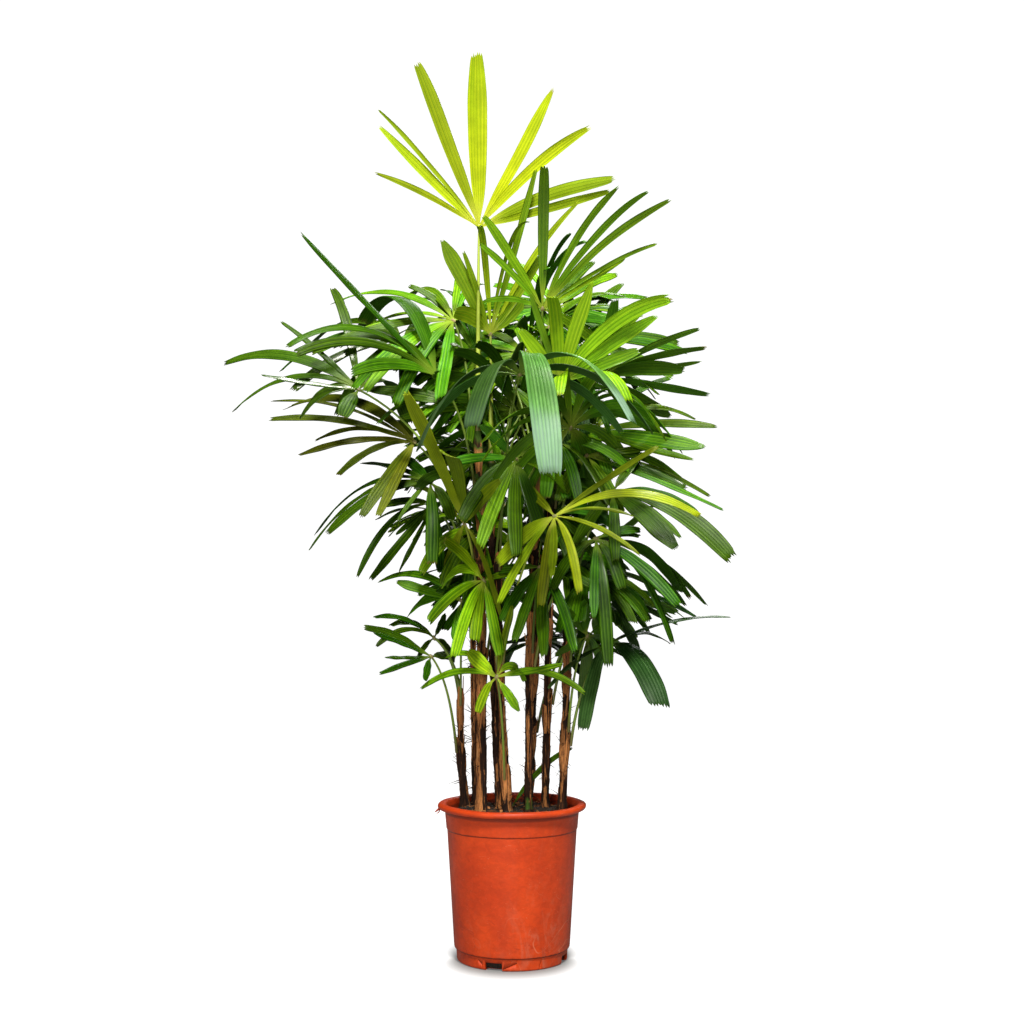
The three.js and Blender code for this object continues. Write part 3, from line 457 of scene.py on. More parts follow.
# angles in degrees and lengths in mm; blades gives each leaflet's angle in the fan, length,
# width and, where it has its own, droop
fronds = [
    frond("young", "tall", (-53, -12, 1178), -102, 73, 0.12, cup=0.1, onTip=True,
          blades=[(-54, 182, 11, 0.3), (-44, 218, 17, 0), (-34, 236, 8, 0.3), (-16, 260, 23, 0.3),
          (2, 254, 33, 0.45), (32, 230, 20, 0), (42, 224, 19, 0.45), (66, 218, 21, 0.3),
          (78, 206, 15, 0)]),
    frond("bright", "bent", (48, -62, 1038), -84, 70, 0.1, lean=6, onTip=True,
          blades=[(-64, 92, 10, 0.75), (-40, 134, 11, 0.3), (-30, 164, 15, 0.3),
          (-2, 224, 18, 0.75), (20, 212, 12, 0.6), (28, 236, 12, 0.6), (38, 248, 13, 0.45),
          (48, 194, 7, 0.45), (58, 140, 8, 0), (108, 98, 19, 0.6)]),
    frond("fresh", "inner", (-35, 20, 1010), -80, 68, 0.2, lean=4, onTip=True,
          blades=[(-42, 68, 28, 0.75), (-30, 164, 26, 0), (-20, 134, 10, 0.15), (-2, 242, 12, 1.2),
          (4, 242, 7, 1.05), (12, 260, 12, 0), (22, 284, 12, 0), (30, 140, 20, 0),
          (40, 68, 25, 0)]),
    frond("deep", "tall", (-118, -64, 931), -162, 48, 1.6, lean=34, cup=0.15,
          blades=[(-102, 98, 28, 0.6), (-90, 128, 20, 0.45), (-34, 242, 40, 1.35),
          (-12, 86, 16, 1.8), (-2, 200, 30, 1.5), (10, 284, 16, 1.05), (18, 302, 19, 0),
          (28, 278, 18, 0.9), (40, 182, 22, 0.75)]),
    frond("deep", "tall", (-241, -68, 910), 160, 30, 1.6, lean=46, cup=0.15,
          blades=[(-146, 122, 28, 0.3), (-86, 134, 40, 2.55), (-44, 260, 18, 0.6),
          (-14, 176, 12, 0.3), (-4, 236, 25, 0.9), (8, 212, 16, 1.35), (24, 104, 30, 1.95),
          (38, 140, 9, 0), (102, 56, 27, 0.6)]),
    frond("silver", "front", (12, -156, 922), -90, 22, 2.4, cup=0.3, blades=[(-104, 180, 26, 1.6),
          (-66, 215, 28), (-28, 180, 34, 3), (10, 300, 44, 3.4), (40, 260, 22, 2),
          (74, 230, 26, 1.8), (108, 190, 24, 1.4)]),
    frond("bright", "bent", (74, -98, 917), -100, 68, 0.3, cup=0.1, blades=[(-30, 92, 23, 0.3),
          (-16, 134, 12, 0), (0, 140, 23, 0.9), (20, 152, 24, 0), (36, 212, 24, 0.75),
          (44, 188, 23, 0), (54, 170, 23, 0.15), (66, 122, 20, 0.15)]),
    frond("green", "right", (140, -25, 937), -85, 50, 0.5, lean=6, cup=0.15,
          blades=[(-150, 80, 21, 1.05), (6, 122, 20, 0.15), (56, 164, 13, 0.3), (68, 164, 16, 0.3),
          (76, 128, 29, 0.45), (86, 158, 12, 0), (106, 188, 15, 0), (126, 152, 25, 0),
          (142, 122, 20, 0)]),
    frond("gold", "front", (64, -160, 708), -46, -6, 2.2, lean=66, blades=[(-146, 110, 40, 0.75),
          (-110, 146, 18, 0.9), (-74, 134, 20, 2.7), (-58, 110, 17, 0.15), (-28, 134, 15, 2.1),
          (2, 170, 9, 0.6), (32, 122, 7, 0.75), (46, 224, 20, 1.05), (56, 176, 16, 0.15),
          (150, 134, 16, 0.15)]),
    frond("gold", "tall", (-75, -64, 700), -132, 63, 0.5, lean=6, blades=[(-130, 152, 19, 0.45),
          (-30, 200, 19, 0.9), (-2, 218, 40, 0.3), (20, 194, 40, 0.9), (56, 152, 22, 0.15),
          (150, 146, 22, 1.95)]),
    frond("green", "tall", (-95, 0, 1030), 156, 26, 0.8, lean=39, cup=0.1, spread=240, count=10,
          length=234, width=25),
    frond("deep", "rightOuter", (158, -71, 750), -3, 20, 0.9, lean=40,
          blades=[(-142, 104, 29, 0.45), (-102, 128, 20, 0.6), (-66, 158, 31, 0.3),
          (-52, 140, 13, 0.6), (-34, 218, 33, 1.05), (-18, 134, 19, 0.9), (46, 80, 21, 0),
          (124, 104, 27, 0.3)]),
    frond("olive", "leftSlim", (-156, -21, 832), 115, 43, 0.5, lean=20, cup=0.15,
          blades=[(6, 62, 21, 0), (26, 260, 27, 0.9), (40, 248, 11, 0.6), (50, 158, 13, 0.9),
          (58, 224, 16, 0.45), (76, 176, 20, 0.6), (88, 134, 16, 1.05), (140, 206, 21, 0.3),
          (150, 224, 18, 0)]),
    frond("deep", "inner", (6, -88, 800), -167, 29, 1.9, lean=46, blades=[(-148, 122, 32, 1.2),
          (-108, 128, 20, 0.3), (-24, 68, 29, 0.15), (34, 104, 19, 0.45), (56, 146, 23, 1.2),
          (84, 176, 23, 0.45), (106, 170, 27, 0.3), (130, 134, 29, 0.45)]),
    frond("deep", "leftSlim", (-129, -52, 766), -167, -3, 1.1, lean=40, blades=[(-72, 92, 22, 0.3),
          (-50, 128, 16, 0.45), (-38, 224, 16, 1.65), (-20, 224, 11, 1.65), (-2, 176, 22, 1.05),
          (42, 86, 9, 0.75), (82, 140, 23, 2.25), (120, 68, 23, 1.8)]),
    frond("deep", "leftSlim", (-128, 28, 735), -156, 40, 1, lean=60, blades=[(28, 80, 13, 0.6),
          (42, 182, 11, 2.1), (76, 80, 10, 0), (86, 164, 15, 0), (98, 122, 9, 0),
          (132, 104, 24, 0)]),
    frond("green", "leftShort", (-81, -12, 578), -158, -15, 0.8, lean=60, blades=[(-134, 56, 16, 0),
          (-82, 50, 15, 0.3), (-72, 158, 17, 1.05), (-50, 92, 27, 1.65), (-38, 98, 20, 0),
          (58, 68, 16, 0), (150, 56, 20, 0.15)]),
    frond("deep", "leftShort", (-127, 25, 516), 149, 66, 0.7, onTip=True,
          blades=[(-110, 56, 22, 1.05), (-56, 62, 13, 0), (40, 80, 16, 1.05), (48, 116, 11, 0.75),
          (58, 122, 10, 1.2), (106, 56, 10, 0.6)]),
    frond("deep", "leftShort", (-130, -13, 488), 198, 41, 0.3, lean=26,
          blades=[(-120, 68, 18, 0.15), (10, 116, 19, 0.45), (26, 110, 13, 0.15), (54, 116, 8, 0),
          (64, 158, 10, 0), (90, 56, 15, 0.3)]),
    frond("bright", "front", (-24, -108, 461), -15, 71, 0.9, lean=34, blades=[(-122, 56, 16, 0),
          (-60, 104, 10, 0), (-50, 146, 11, 1.05), (-18, 56, 16, 2.1), (8, 104, 13, 0.15),
          (62, 98, 10, 1.05), (72, 56, 25, 0), (92, 158, 15, 0.45), (150, 56, 16, 1.95)]),
    frond("bright", "front", (-44, -70, 610), 170, 54, 2.1, lean=20, cup=0.15,
          blades=[(-90, 80, 16, 0), (10, 80, 29, 0.45), (22, 80, 27, 1.95), (80, 152, 18, 0.75),
          (104, 164, 21, 0.9), (116, 110, 24, 1.2), (146, 122, 24, 1.05)]),
    frond("deep", "bent", (44, -76, 632), -7, 23, 1.8, lean=40, blades=[(-148, 98, 25, 0.6),
          (-118, 140, 21, 0), (-100, 182, 22, 0), (-78, 164, 18, 0.9), (-42, 110, 17, 0.45),
          (58, 80, 21, 0.3), (146, 104, 24, 0.3)]),
    frond("green", "right", (131, 22, 854), -14, -1, 0.6, lean=60, cup=0.15,
          blades=[(-118, 86, 26, 0.15), (-64, 98, 19, 0.45), (-24, 182, 13, 0), (-16, 188, 29, 0),
          (6, 194, 18, 0.3), (40, 170, 15, 1.05), (54, 152, 14, 0.6), (98, 80, 20, 0.3)]),
    frond("green", "right", (120, -13, 811), 77, 49, 0.9, lean=34, blades=[(-148, 122, 20, 0.75),
          (-108, 230, 11, 0.15), (-98, 158, 22, 0.3), (-88, 200, 11, 0.6), (-74, 98, 16, 0),
          (-64, 158, 22, 1.05), (-4, 122, 20, 0), (150, 86, 25, 1.05)]),
    frond("deep", "backLeft", (-181, 48, 1004), 168, 25, 1.3, lean=33, cup=0.1, spread=220, count=8,
          length=211, width=22),
    frond("deep", "rightOuter", (156, -17, 672), -77, 31, 0.9, blades=[(-134, 86, 31, 1.2),
          (16, 116, 20, 0), (84, 140, 38, 1.8), (96, 164, 15, 1.35), (110, 212, 11, 0.75),
          (126, 212, 12, 0.45), (150, 122, 20, 1.35)]),
    frond("deep", "bent", (129, -118, 675), -21, -10, 1.7, lean=54, blades=[(-150, 104, 30, 2.4),
          (-72, 140, 16, 0.15), (-62, 200, 21, 2.1), (-34, 86, 20, 1.5), (-14, 164, 22, 0.75),
          (-4, 200, 14, 2.7), (42, 62, 20, 0.45)]),
    frond("blue", "right", (158, 46, 602), 35, 1, 0.8, lean=54, blades=[(-146, 116, 20, 0),
          (-96, 134, 20, 0), (-58, 80, 24, 0), (-42, 122, 13, 0), (-24, 68, 20, 0),
          (-14, 176, 13, 0.3), (58, 104, 18, 0.15)]),
    frond("green", "rightOuter", (118, -65, 523), -64, 55, 0.8, lean=20, cup=0.15,
          blades=[(-108, 56, 22, 0), (-44, 80, 14, 0), (-22, 68, 25, 0), (84, 56, 13, 0.15),
          (114, 200, 13, 0.3), (128, 122, 15, 0.6), (146, 296, 38, 0.3)]),
    frond("blue", "rightOuter", (156, -16, 508), -36, 7, 1, lean=26, cup=0.15,
          blades=[(-115, 123, 22, 0.7), (-84, 158, 27, 2.9), (-23, 169, 38, 1.7),
          (35, 188, 17, 0.5), (57, 104, 22, 1.1), (116, 128, 20, 1.8)]),
    frond("green", "backRight", (71, 75, 1063), 66, 49, 0.4, lean=36, spread=210, count=9,
          length=162, width=27),
    frond("green", "right", (112, 56, 1009), 18, 33, 0.6, lean=61, spread=230, count=9, length=174,
          width=23),
    frond("deep", "inner", (6, 58, 891), -70, 53, 0.6, lean=9, spread=250, count=11, length=213,
          width=35),
    frond("green", "bent", (92, -63, 850), -64, 55, 1.5, lean=12, cup=0.1, spread=280, count=11,
          length=223, width=35),
    frond("deep", "tall", (-52, 26, 964), -172, 55, 0.8, lean=29, spread=160, count=9, length=202,
          width=33),
    frond("deep", "rightOuter", (117, -51, 611), -39, 9, 1.6, lean=26, spread=200, count=8,
          length=142, width=32),
]

backGrowth = {
    "fronds": 12, "heights": (480, 1020), "sweep": (23, 146), "reach": (66, 169),
    "middle": 40, "taper": 0.45, "rise": (18, 60), "lengths": (0.83, 1.07), "lean": -25,
    "goldenStep": 0.618, "goldenStart": 0.41, "seed": 55, "canes": ("backRight", "backLeft"),
    "shades": ("shadow", "green", "deep"), "droop": 1.1, "cup": 0.1, "spread": 240, "count": 9,
    "length": 198, "width": 29,
}


def backFrond(index):
    b = backGrowth
    share = (index + 0.5) / b["fronds"]
    sweep = (index * b["goldenStep"] + b["goldenStart"]) % 1
    turn = mix(*b["sweep"], sweep)
    reach = mix(*b["reach"], chance(b["seed"], index)) * (1 - b["taper"] * share)
    hub = (reach * math.cos(math.radians(turn)),
           b["middle"] + reach * math.sin(math.radians(turn)), mix(*b["heights"], share))
    return frond(b["shades"][index % 3], b["canes"][0 if sweep < 0.5 else 1], hub, turn,
                 mix(*b["rise"], share), b["droop"], lean=b["lean"], cup=b["cup"],
                 spread=b["spread"], count=b["count"],
                 length=b["length"] * mix(*b["lengths"], share), width=b["width"])


fronds += [backFrond(index) for index in range(backGrowth["fronds"])]
solidFronds = len(fronds)

middleGrowth = {  # fronds between the canes, finer than the solids and inside their reach; half take the 'shadow' colours, painted shade for the inside of the crown
    "fronds": 18, "heights": (600, 1040), "sideways": (-78, 96), "depth": (-10, 84),
    "rise": (18, 66), "length": (120, 178), "width": (20, 32), "lean": (-10, 42),
    "droop": (0.7, 1.7), "turns": (200, -20), "turnRange": 50,
    "goldenStep": 0.618, "goldenStart": 0.3, "seed": 71,
    "shades": ("shadow", "deep", "shadow", "green"),
    "canes": ("inner", "backRight", "tall", "backLeft", "bent", "right"),
    "cup": 0.1, "spread": 250, "count": 9,
}


def middleFrond(index):
    m = middleGrowth
    share = (index + 0.5) / m["fronds"]
    across = (index * m["goldenStep"] + m["goldenStart"]) % 1

    def pick(key, number):
        return mix(*m[key], chance(m["seed"] + number, index))

    hub = (mix(*m["sideways"], across), pick("depth", 0), mix(*m["heights"], share))
    turn = mix(*m["turns"], across) + m["turnRange"] * (chance(m["seed"], index + 30) - 0.5)
    return frond(m["shades"][index % len(m["shades"])], m["canes"][index % len(m["canes"])],
                 hub, turn, pick("rise", 1), pick("droop", 2), lean=pick("lean", 3), cup=m["cup"],
                 spread=m["spread"], count=m["count"], length=pick("length", 4),
                 width=pick("width", 5))


fronds += [middleFrond(index) for index in range(middleGrowth["fronds"])]


def caneLine(cane, share):  # middle and radius at a share of the way up
    foot, bend, tip, radii = canes[cane]
    share = np.asarray(share, float)
    bow = 4 * share * (1 - share)
    x = mix(foot[0], tip[0], share) + bow * bend[0]
    y = mix(foot[1], tip[1], share) + bow * bend[1]
    z = mix(growth["soilTop"] + growth["clearance"], tip[2], share)
    return np.stack([x, y, z], -1), mix(radii[0], radii[1], share)


def solidRings(cane):  # the few rings of the cane's solid, which the petioles start from
    tipHeight = canes[cane][2][2]
    shares = [0, growth["flareLength"] / (tipHeight - growth["soilTop"])]
    shares += [(i - 1) / (growth["caneRings"] - 1) for i in range(2, growth["caneRings"] + 1)]
    middles, radii = caneLine(cane, shares)
    radii[0] *= 1 + growth["flareGain"]
    return middles, radii


def petioleFoot(grown, lower):
    middles, radii = solidRings(grown["cane"])
    tip, hub = middles[-1], grown["hub"]
    if grown["onTip"]:
        return tip + up * growth["clearance"], vector(1, 0, 0)
    drop, dropByReach = growth["footDrop"]
    wanted = hub[2] - drop - dropByReach * math.hypot(hub[0] - tip[0], hub[1] - tip[1])
    height = min(wanted, tip[2] - growth["footBelowTip"]) - lower
    height = max(height, growth["soilTop"] + growth["footAboveSoil"])
    middle = np.array([np.interp(height, middles[:, 2], middles[:, axis]) for axis in range(3)])
    radius = np.interp(height, middles[:, 2], radii)
    outward = unit((hub - middle) * (1, 1, 0))
    foot = middle + outward * (radius + growth["petioleRadius"] + growth["clearance"])
    return foot, -outward


def petioleCurve(foot, hub, sway, steps):
    sideways = unit(vector(hub[1] - foot[1], foot[0] - hub[0], 0))
    out, upward = growth["petioleBend"]
    control = mix(foot, hub, out)
    control[2] = mix(foot[2], hub[2], upward)
    control = control + sideways * sway
    t = np.linspace(0, 1, steps + 1)[:, None]
    return (1 - t) ** 2 * foot + 2 * t * (1 - t) * control + t * t * hub


def nearNode(points, nodePoints, reach=0.4):
    gaps = np.linalg.norm(nodePoints[None] - np.atleast_2d(points)[:, None], axis=2)
    return bool((gaps.min(axis=1) < reach).all())


def findPetiole(grown, nodePoints):  # the try that the solid took
    for lower in growth["lowers"]:
        for sway in growth["sways"]:
            foot, inward = petioleFoot(grown, lower)
            points = petioleCurve(foot, grown["hub"], sway, growth["petioleSteps"])
            way = unit(points[3] - points[1])
            first = unit(inward - (inward @ way) * way)
            if nearNode(points[2] + first * growth["petioleRadius"], nodePoints):
                return foot, inward, sway
    raise ValueError("no petiole found")


def fanAxes(grown):
    t, r, l = (math.radians(grown[key]) for key in ("turn", "rise", "lean"))
    ahead = vector(math.cos(t) * math.cos(r), math.sin(t) * math.cos(r), math.sin(r))
    face = vector(0, -math.sin(l), math.cos(l))
    face = unit(face - (face @ ahead) * ahead)
    return ahead, face, np.cross(face, ahead)


def leafletsOf(grown, seed):
    blades = grown["blades"]
    if not blades:
        blades = []
        step = grown["spread"] / grown["count"]
        middle, less = growth["middleLength"]
        for i in range(grown["count"]):
            share = i / (grown["count"] - 1) - 0.5
            blades.append((
                share * grown["spread"] + (chance(seed, i) - 0.5) * growth["angles"] * step,
                grown["length"] * (middle - less * abs(share))
                * mix(*growth["lengths"], chance(seed + 40, i)),
                grown["width"] * mix(*growth["widths"], chance(seed + 80, i))))
    leaflets = []
    for i, blade in enumerate(blades):
        droop = grown["droop"] * mix(*growth["droops"], chance(seed + 120, i))
        roll = growth["rollRange"] * (2 * chance(seed + 200, i) - 1)
        leaflets.append({
            "angle": blade[0], "length": blade[1], "width": blade[2],
            "droop": blade[3] if len(blade) > 3 else droop,
            "narrowing": mix(*growth["narrowings"], chance(seed + 160, i)), "cup": grown["cup"],
            "roll": roll * (growth["handRoll"] if grown["blades"] else 1),
            "seed": seed * 20 + i})
    return leaflets


def changed(leaflet, attempt):
    turn, droop, length, slim = attempt
    return {**leaflet, "angle": leaflet["angle"] + turn, "droop": max(0, leaflet["droop"] + droop),
            "length": leaflet["length"] * length, "width": leaflet["width"] * slim}


def rotated(v, axis, angle):
    c, s = np.cos(angle)[..., None], np.sin(angle)[..., None]
    return v * c + np.cross(axis, v) * s + axis * (axis @ v) * (1 - c)


def spineOf(hub, axes, leaflet):
    ahead, face, across = axes
    angle = math.radians(leaflet["angle"])
    heading = math.cos(angle) * ahead + math.sin(angle) * across
    heading = unit(heading + leaflet["cup"] * face)
    level = math.cos(angle) * across - math.sin(angle) * ahead
    steps = growth["spineSteps"]
    fall = leaflet["droop"] * (np.arange(steps) + 0.5) / steps
    ways = unit(heading[None] - fall[:, None] * up[None])
    start = hub + heading * growth["hubReach"]
    spine = np.concatenate([[start], start + np.cumsum(ways * leaflet["length"] / steps, axis=0)])
    way = np.concatenate([spine[1:2] - spine[:1], spine[2:] - spine[:-2],
                          spine[-1:] - spine[-2:-1]])
    return spine, unit(way), heading, level


def widthShare(share, narrowing):  # a strap, soon at its full width
    root = 1 - (1 - growth["rootShare"]) * np.exp(-leafletForm["rootGrowth"] * share)
    return root * (1 - leafletForm["narrowing"] * narrowing * share ** leafletForm["tipPower"])


def tipKeel(hub, axes, leaflet):  # the lowest point of the solid's last section
    spine, way, heading, level = spineOf(hub, axes, leaflet)
    edge = rotated(level, heading, np.array(math.radians(leaflet["roll"])))
    side = unit(edge - (edge @ way[-1]) * way[-1])
    return spine[-1] + np.cross(side, way[-1]) * growth["ribDepth"]


def findLeaflet(hub, axes, leaflet, nodePoints):  # the try that the solid took, or None
    for attempt in growth["tries"]:
        tried = changed(leaflet, attempt)
        if nearNode(tipKeel(hub, axes, tried), nodePoints):
            return tried
    return None


leafletForm = {
    "pleat": 5.4, "mostPleats": 8,  # mm from one fold to the next
    "pleatDepth": 0.07,  # half the height of a fold, as a share of that
    "unevenPleats": 0.3,
    "rootGrowth": 5.2, "narrowing": 0.45, "tipPower": 8,  # its outline
    "rootFold": 0.3,  # how much deeper it is at the hub
    "thickness": 0.7,
    "rootHalfWidth": 1.3, "rootReach": 3,
    "splitFrom": 25,  # wider ones are cut into two, unless the frond names its blades
    "splitAngle": (3.5, 6.5), "splitLength": (0.88, 1.04), "splitDroop": 0.16, "splitWidth": 0.6,
    "taperFrom": (0.55, 0.84), "taper": (0.25, 0.68), "taperPower": 1.5,  # the end narrows
    "blunt": 0.85, "bluntFrom": (5, 17),  # less so on broad hanging ones
    "arch": (-0.14, 0.16),  # the edges' fall, as a share of half the width
    "teeth": (0.5, 6.5), "notches": (0.4, 3.5),  # mm that they stand out and go in
    "fullTeeth": 8,  # mm between the last rings, below which they are shorter
    "slant": 0.35,
    "shaded": (70, 140), "shadedUpTo": 1020, "shadedTone": 0.34,  # mm from the middle; painted shade makes outer leaflets darker there
    "sway": 0.014,  # sideways wander, as a share of the length
    "twist": 14,  # degrees, either way
    "dryShare": 0.1,
}


def splitLeaflet(leaflet):  # the two fingers of a leaflet that is cut down to its rib
    form, seed = leafletForm, leaflet["seed"]
    fingers = []
    for side in (-1, 1):
        fingers.append({
            **leaflet, "seed": seed + 0.5 + side * 0.25,
            "width": leaflet["width"] * form["splitWidth"],
            "angle": leaflet["angle"] + side * mix(*form["splitAngle"], chance(seed, side + 20)),
            "length": leaflet["length"] * mix(*form["splitLength"], chance(seed, side + 30)),
            "droop": leaflet["droop"] + form["splitDroop"] * (2 * chance(seed, side + 40) - 1)})
    return fingers


def addLeaflet(heap, hub, axes, leaflet):
    form, seed = leafletForm, leaflet["seed"]
    spine, way, heading, level = spineOf(hub, axes, leaflet)
    rows = len(spine)
    share = np.linspace(0, 1, rows)
    twist = form["twist"] * (2 * chance(seed, 1) - 1)
    roll = math.radians(leaflet["roll"]) * easeIn(share * 3) + math.radians(twist) * share ** 2
    edge = rotated(level, heading, roll)
    side = unit(edge - (edge * way).sum(1, keepdims=True) * way)
    above = np.cross(way, side)
    half = leaflet["width"] / 2 * widthShare(share, leaflet["narrowing"])
    taperFrom = mix(*form["taperFrom"], chance(seed, 9))
    taper = mix(*form["taper"], chance(seed, 10))
    low, high = form["bluntFrom"]
    blunt = easeIn((leaflet["width"] - low) / (high - low)) * min(leaflet["droop"], 1)
    taper = taper * (1 - form["blunt"] * blunt)
    ending = np.clip((share - taperFrom) / (1 - taperFrom), 0, 1)
    half = half * (1 - taper * ending ** form["taperPower"])
    half = np.maximum(half, form["rootHalfWidth"])
    wander = form["sway"] * leaflet["length"] * (2 * chance(seed, 2) - 1)
    spine = spine + side * (wander * np.sin(math.pi * share) ** 2)[:, None]
    spine[0] = hub + heading * form["rootReach"]

    pleats = int(np.clip(round(leaflet["width"] / form["pleat"]), 1, form["mostPleats"]))
    columns = 2 * pleats + 1
    t = np.linspace(-1, 1, columns)
    uneven = [chance(seed + 5, column) - 0.5 for column in range(1, columns - 1)]
    t[1:-1] += form["unevenPleats"] * np.array(uneven) * 2 / (columns - 1)
    fold = np.where(np.arange(columns) % 2 == 0, -1.0, 1.0)
    depth = form["pleatDepth"] * (half * 2 / pleats)
    depth = depth * (1 + form["rootFold"] * np.exp(-share * 8) * pleats)
    arch = mix(*form["arch"], chance(seed, 3))
    lift = depth[:, None] * fold[None] - arch * half[:, None] * t[None] ** 2
    phase = chance(seed, 4) * 6.3
    lift = lift + 0.5 * np.sin(share * 19 + phase)[:, None] * t[None] ** 3
    top = spine[:, None] + side[:, None] * (half[:, None] * t[None])[..., None]
    top = top + above[:, None] * lift[..., None]

    slant = form["slant"] * half[-1] * (2 * chance(seed, 5) - 1)
    jag = np.array([chance(seed + 11, column) for column in range(columns)])
    tooth = slant * t + np.where(fold > 0, mix(*form["teeth"], jag), -mix(*form["notches"], jag))
    tooth = tooth * min(leaflet["length"] / (rows - 1) / form["fullTeeth"], 1)
    top[-1] += way[-1][None] * tooth[:, None]
    bottom = top - above[:, None] * form["thickness"]

    dry = 1.0 if chance(seed, 6) < form["dryShare"] else 0.12
    # painted shade: leaflets of fronds far from the middle are darkened
    low, high = form["shaded"]
    outward = easeIn((abs(hub[0]) - low) / (high - low)) * (hub[2] < form["shadedUpTo"])
    tone = np.zeros((2, rows, columns, 4))
    tone[..., 0] = chance(seed, 7) * mix(1, form["shadedTone"], outward)
    tone[1, ..., 1] = 1
    tone[..., 2] = share[None, :, None]
    tone[..., 3] = dry * chance(seed, 8)
    place = np.zeros((2, rows, columns, 2))
    place[..., 0] = (np.arange(columns) / 2)[None, None]
    place[..., 1] = (share * leaflet["length"] / 10)[None, :, None] + seed * 3.7
    points = np.stack([top, bottom]).reshape(-1, 3)
    heap.add(points, shellQuads(rows, columns), None, place.reshape(-1, 2), tone.reshape(-1, 4))


petioleForm = {"steps": 18, "sides": 10, "foot": 2.6, "hub": 1.7, "tipFoot": 5.0, "flat": 0.82,
               "thinning": 1.6, "paleShades": ("young", "fresh", "gold")}
hubForm = {"length": 5.2, "width": 3.4, "height": 2.4, "rings": 8, "sides": 12,
           "ribs": 6, "ribDepth": 0.09, "roundness": 0.9}
sleeveForm = {
    "below": 46, "above": 9, "sunk": -1.4, "proud": 0.8, "sides": 24, "rings": 16,
    "mouth": 1.0, "openTowards": 1.4,  # how far it opens, and how much more by the petiole
    "tongue": 18, "jag": 9, "tongueFrom": -0.4,  # its edge rises to the petiole and is torn
    "rough": 0.6, "thickness": 0.9, "greenFrom": (560, 760), "green": 0.7,
}


def addPetiole(heap, grown, foot, inward, sway):
    form = petioleForm
    path = petioleCurve(foot, grown["hub"], sway, form["steps"])
    share = np.linspace(0, 1, len(path))
    start = form["tipFoot"] if grown["onTip"] else form["foot"]
    radii = mix(form["hub"], start, (1 - share) ** form["thinning"])
    points, quads, tris, places = tube(path, radii, form["sides"], form["flat"], inward)
    tone = np.zeros((len(points), 4))
    tone[:, 0] = chance(grown["hub"][2], 9)
    tone[:, 2] = np.concatenate([np.repeat(share, form["sides"]), [0, 1]])
    tone[:, 3] = 1.0 if grown["shade"] in form["paleShades"] else 0.2
    heap.add(points, quads, tris, places, tone)


def addHub(heap, grown, axes):
    ahead, face, across = axes
    form = hubForm
    polar = np.linspace(0, math.pi, form["rings"] + 1)[1:-1]
    turn = fullTurn(form["sides"])
    ribs = 1 + form["ribDepth"] * np.cos(turn * form["ribs"])
    ring = np.sin(polar)[:, None] * ribs[None]
    along = -form["length"] * form["roundness"] * np.cos(polar)[:, None] * np.ones_like(ring)
    points = (grown["hub"] + along[..., None] * ahead
              + (ring * np.cos(turn) * form["width"])[..., None] * across
              + (ring * np.sin(turn) * form["height"])[..., None] * face)
    ends = np.stack([grown["hub"] - ahead * form["length"], grown["hub"] + ahead * form["length"]])
    rows, sides = len(polar), form["sides"]
    heap.add(np.concatenate([points.reshape(-1, 3), ends]), gridQuads(rows, sides, True),
             capTris(rows, sides), tone=(chance(grown["hub"][0], 3), 0, 0, 0))


def addSleeve(heap, grown, foot, inward):  # the old leaf base that clasps the cane
    form = sleeveForm
    tip = canes[grown["cane"]][2]
    z = np.linspace(foot[2] - form["below"], foot[2] + form["above"], form["rings"])
    low = growth["soilTop"] + growth["clearance"]
    share = (z - low) / (tip[2] - low)
    middle, radius = caneLine(grown["cane"], np.clip(share, 0, 1))
    middle[:, 2] = z
    turn = fullTurn(form["sides"])
    direction = levelWays(turn)
    towards = direction @ -inward
    opened = np.linspace(0, 1, form["rings"]) ** 2
    seed = int(foot[2])
    rough = softNoise(z[:, None] * 0.05, np.arange(form["sides"])[None] * 0.5, seed, 12)
    proud = mix(form["sunk"], form["proud"], easeIn(np.linspace(0, 2, form["rings"])))
    wall = radius[:, None] + proud[:, None] + form["rough"] * rough
    wider = 1 + form["openTowards"] * np.maximum(towards, 0)
    wall = wall + opened[:, None] * form["mouth"] * wider[None]
    outer = middle[:, None] + direction[None] * wall[..., None]
    jagged = softNoise(0.5, np.arange(form["sides"]) * 0.5, seed, 12)
    rising = np.maximum(towards, form["tongueFrom"]) * form["tongue"] + form["jag"] * jagged
    mouth = opened[:, None] ** 2 * rising[None]
    outer[..., 2] += mouth
    inner = middle[::-1, None] + direction[None] * (wall[::-1] - form["thickness"])[..., None]
    inner[..., 2] += mouth[::-1]
    points = np.concatenate([outer, inner])
    rows = 2 * form["rings"]
    quads = gridQuads(rows, form["sides"], around=True)
    around = np.arange(form["sides"])
    after = (around + 1) % form["sides"]
    close = np.stack([(rows - 1) * form["sides"] + around, (rows - 1) * form["sides"] + after,
                      after, around], -1)
    tone = np.zeros((rows, form["sides"], 4))
    tone[..., 0] = chance(seed, 5)
    greening = easeIn((foot[2] - form["greenFrom"][0]) / np.ptp(form["greenFrom"]))
    tone[..., 1] = np.concatenate([opened, opened[::-1]])[:, None] * greening * form["green"]
    tone[..., 2] = mix(0.3, 1.0, chance(seed, 6))
    place = np.stack(np.broadcast_arrays(
        turn[None] / (2 * math.pi) * 6, np.concatenate([z, z[::-1]])[:, None]), -1)
    heap.add(points.reshape(-1, 3), np.concatenate([quads, close]), None, place.reshape(-1, 2),
             tone.reshape(-1, 4))


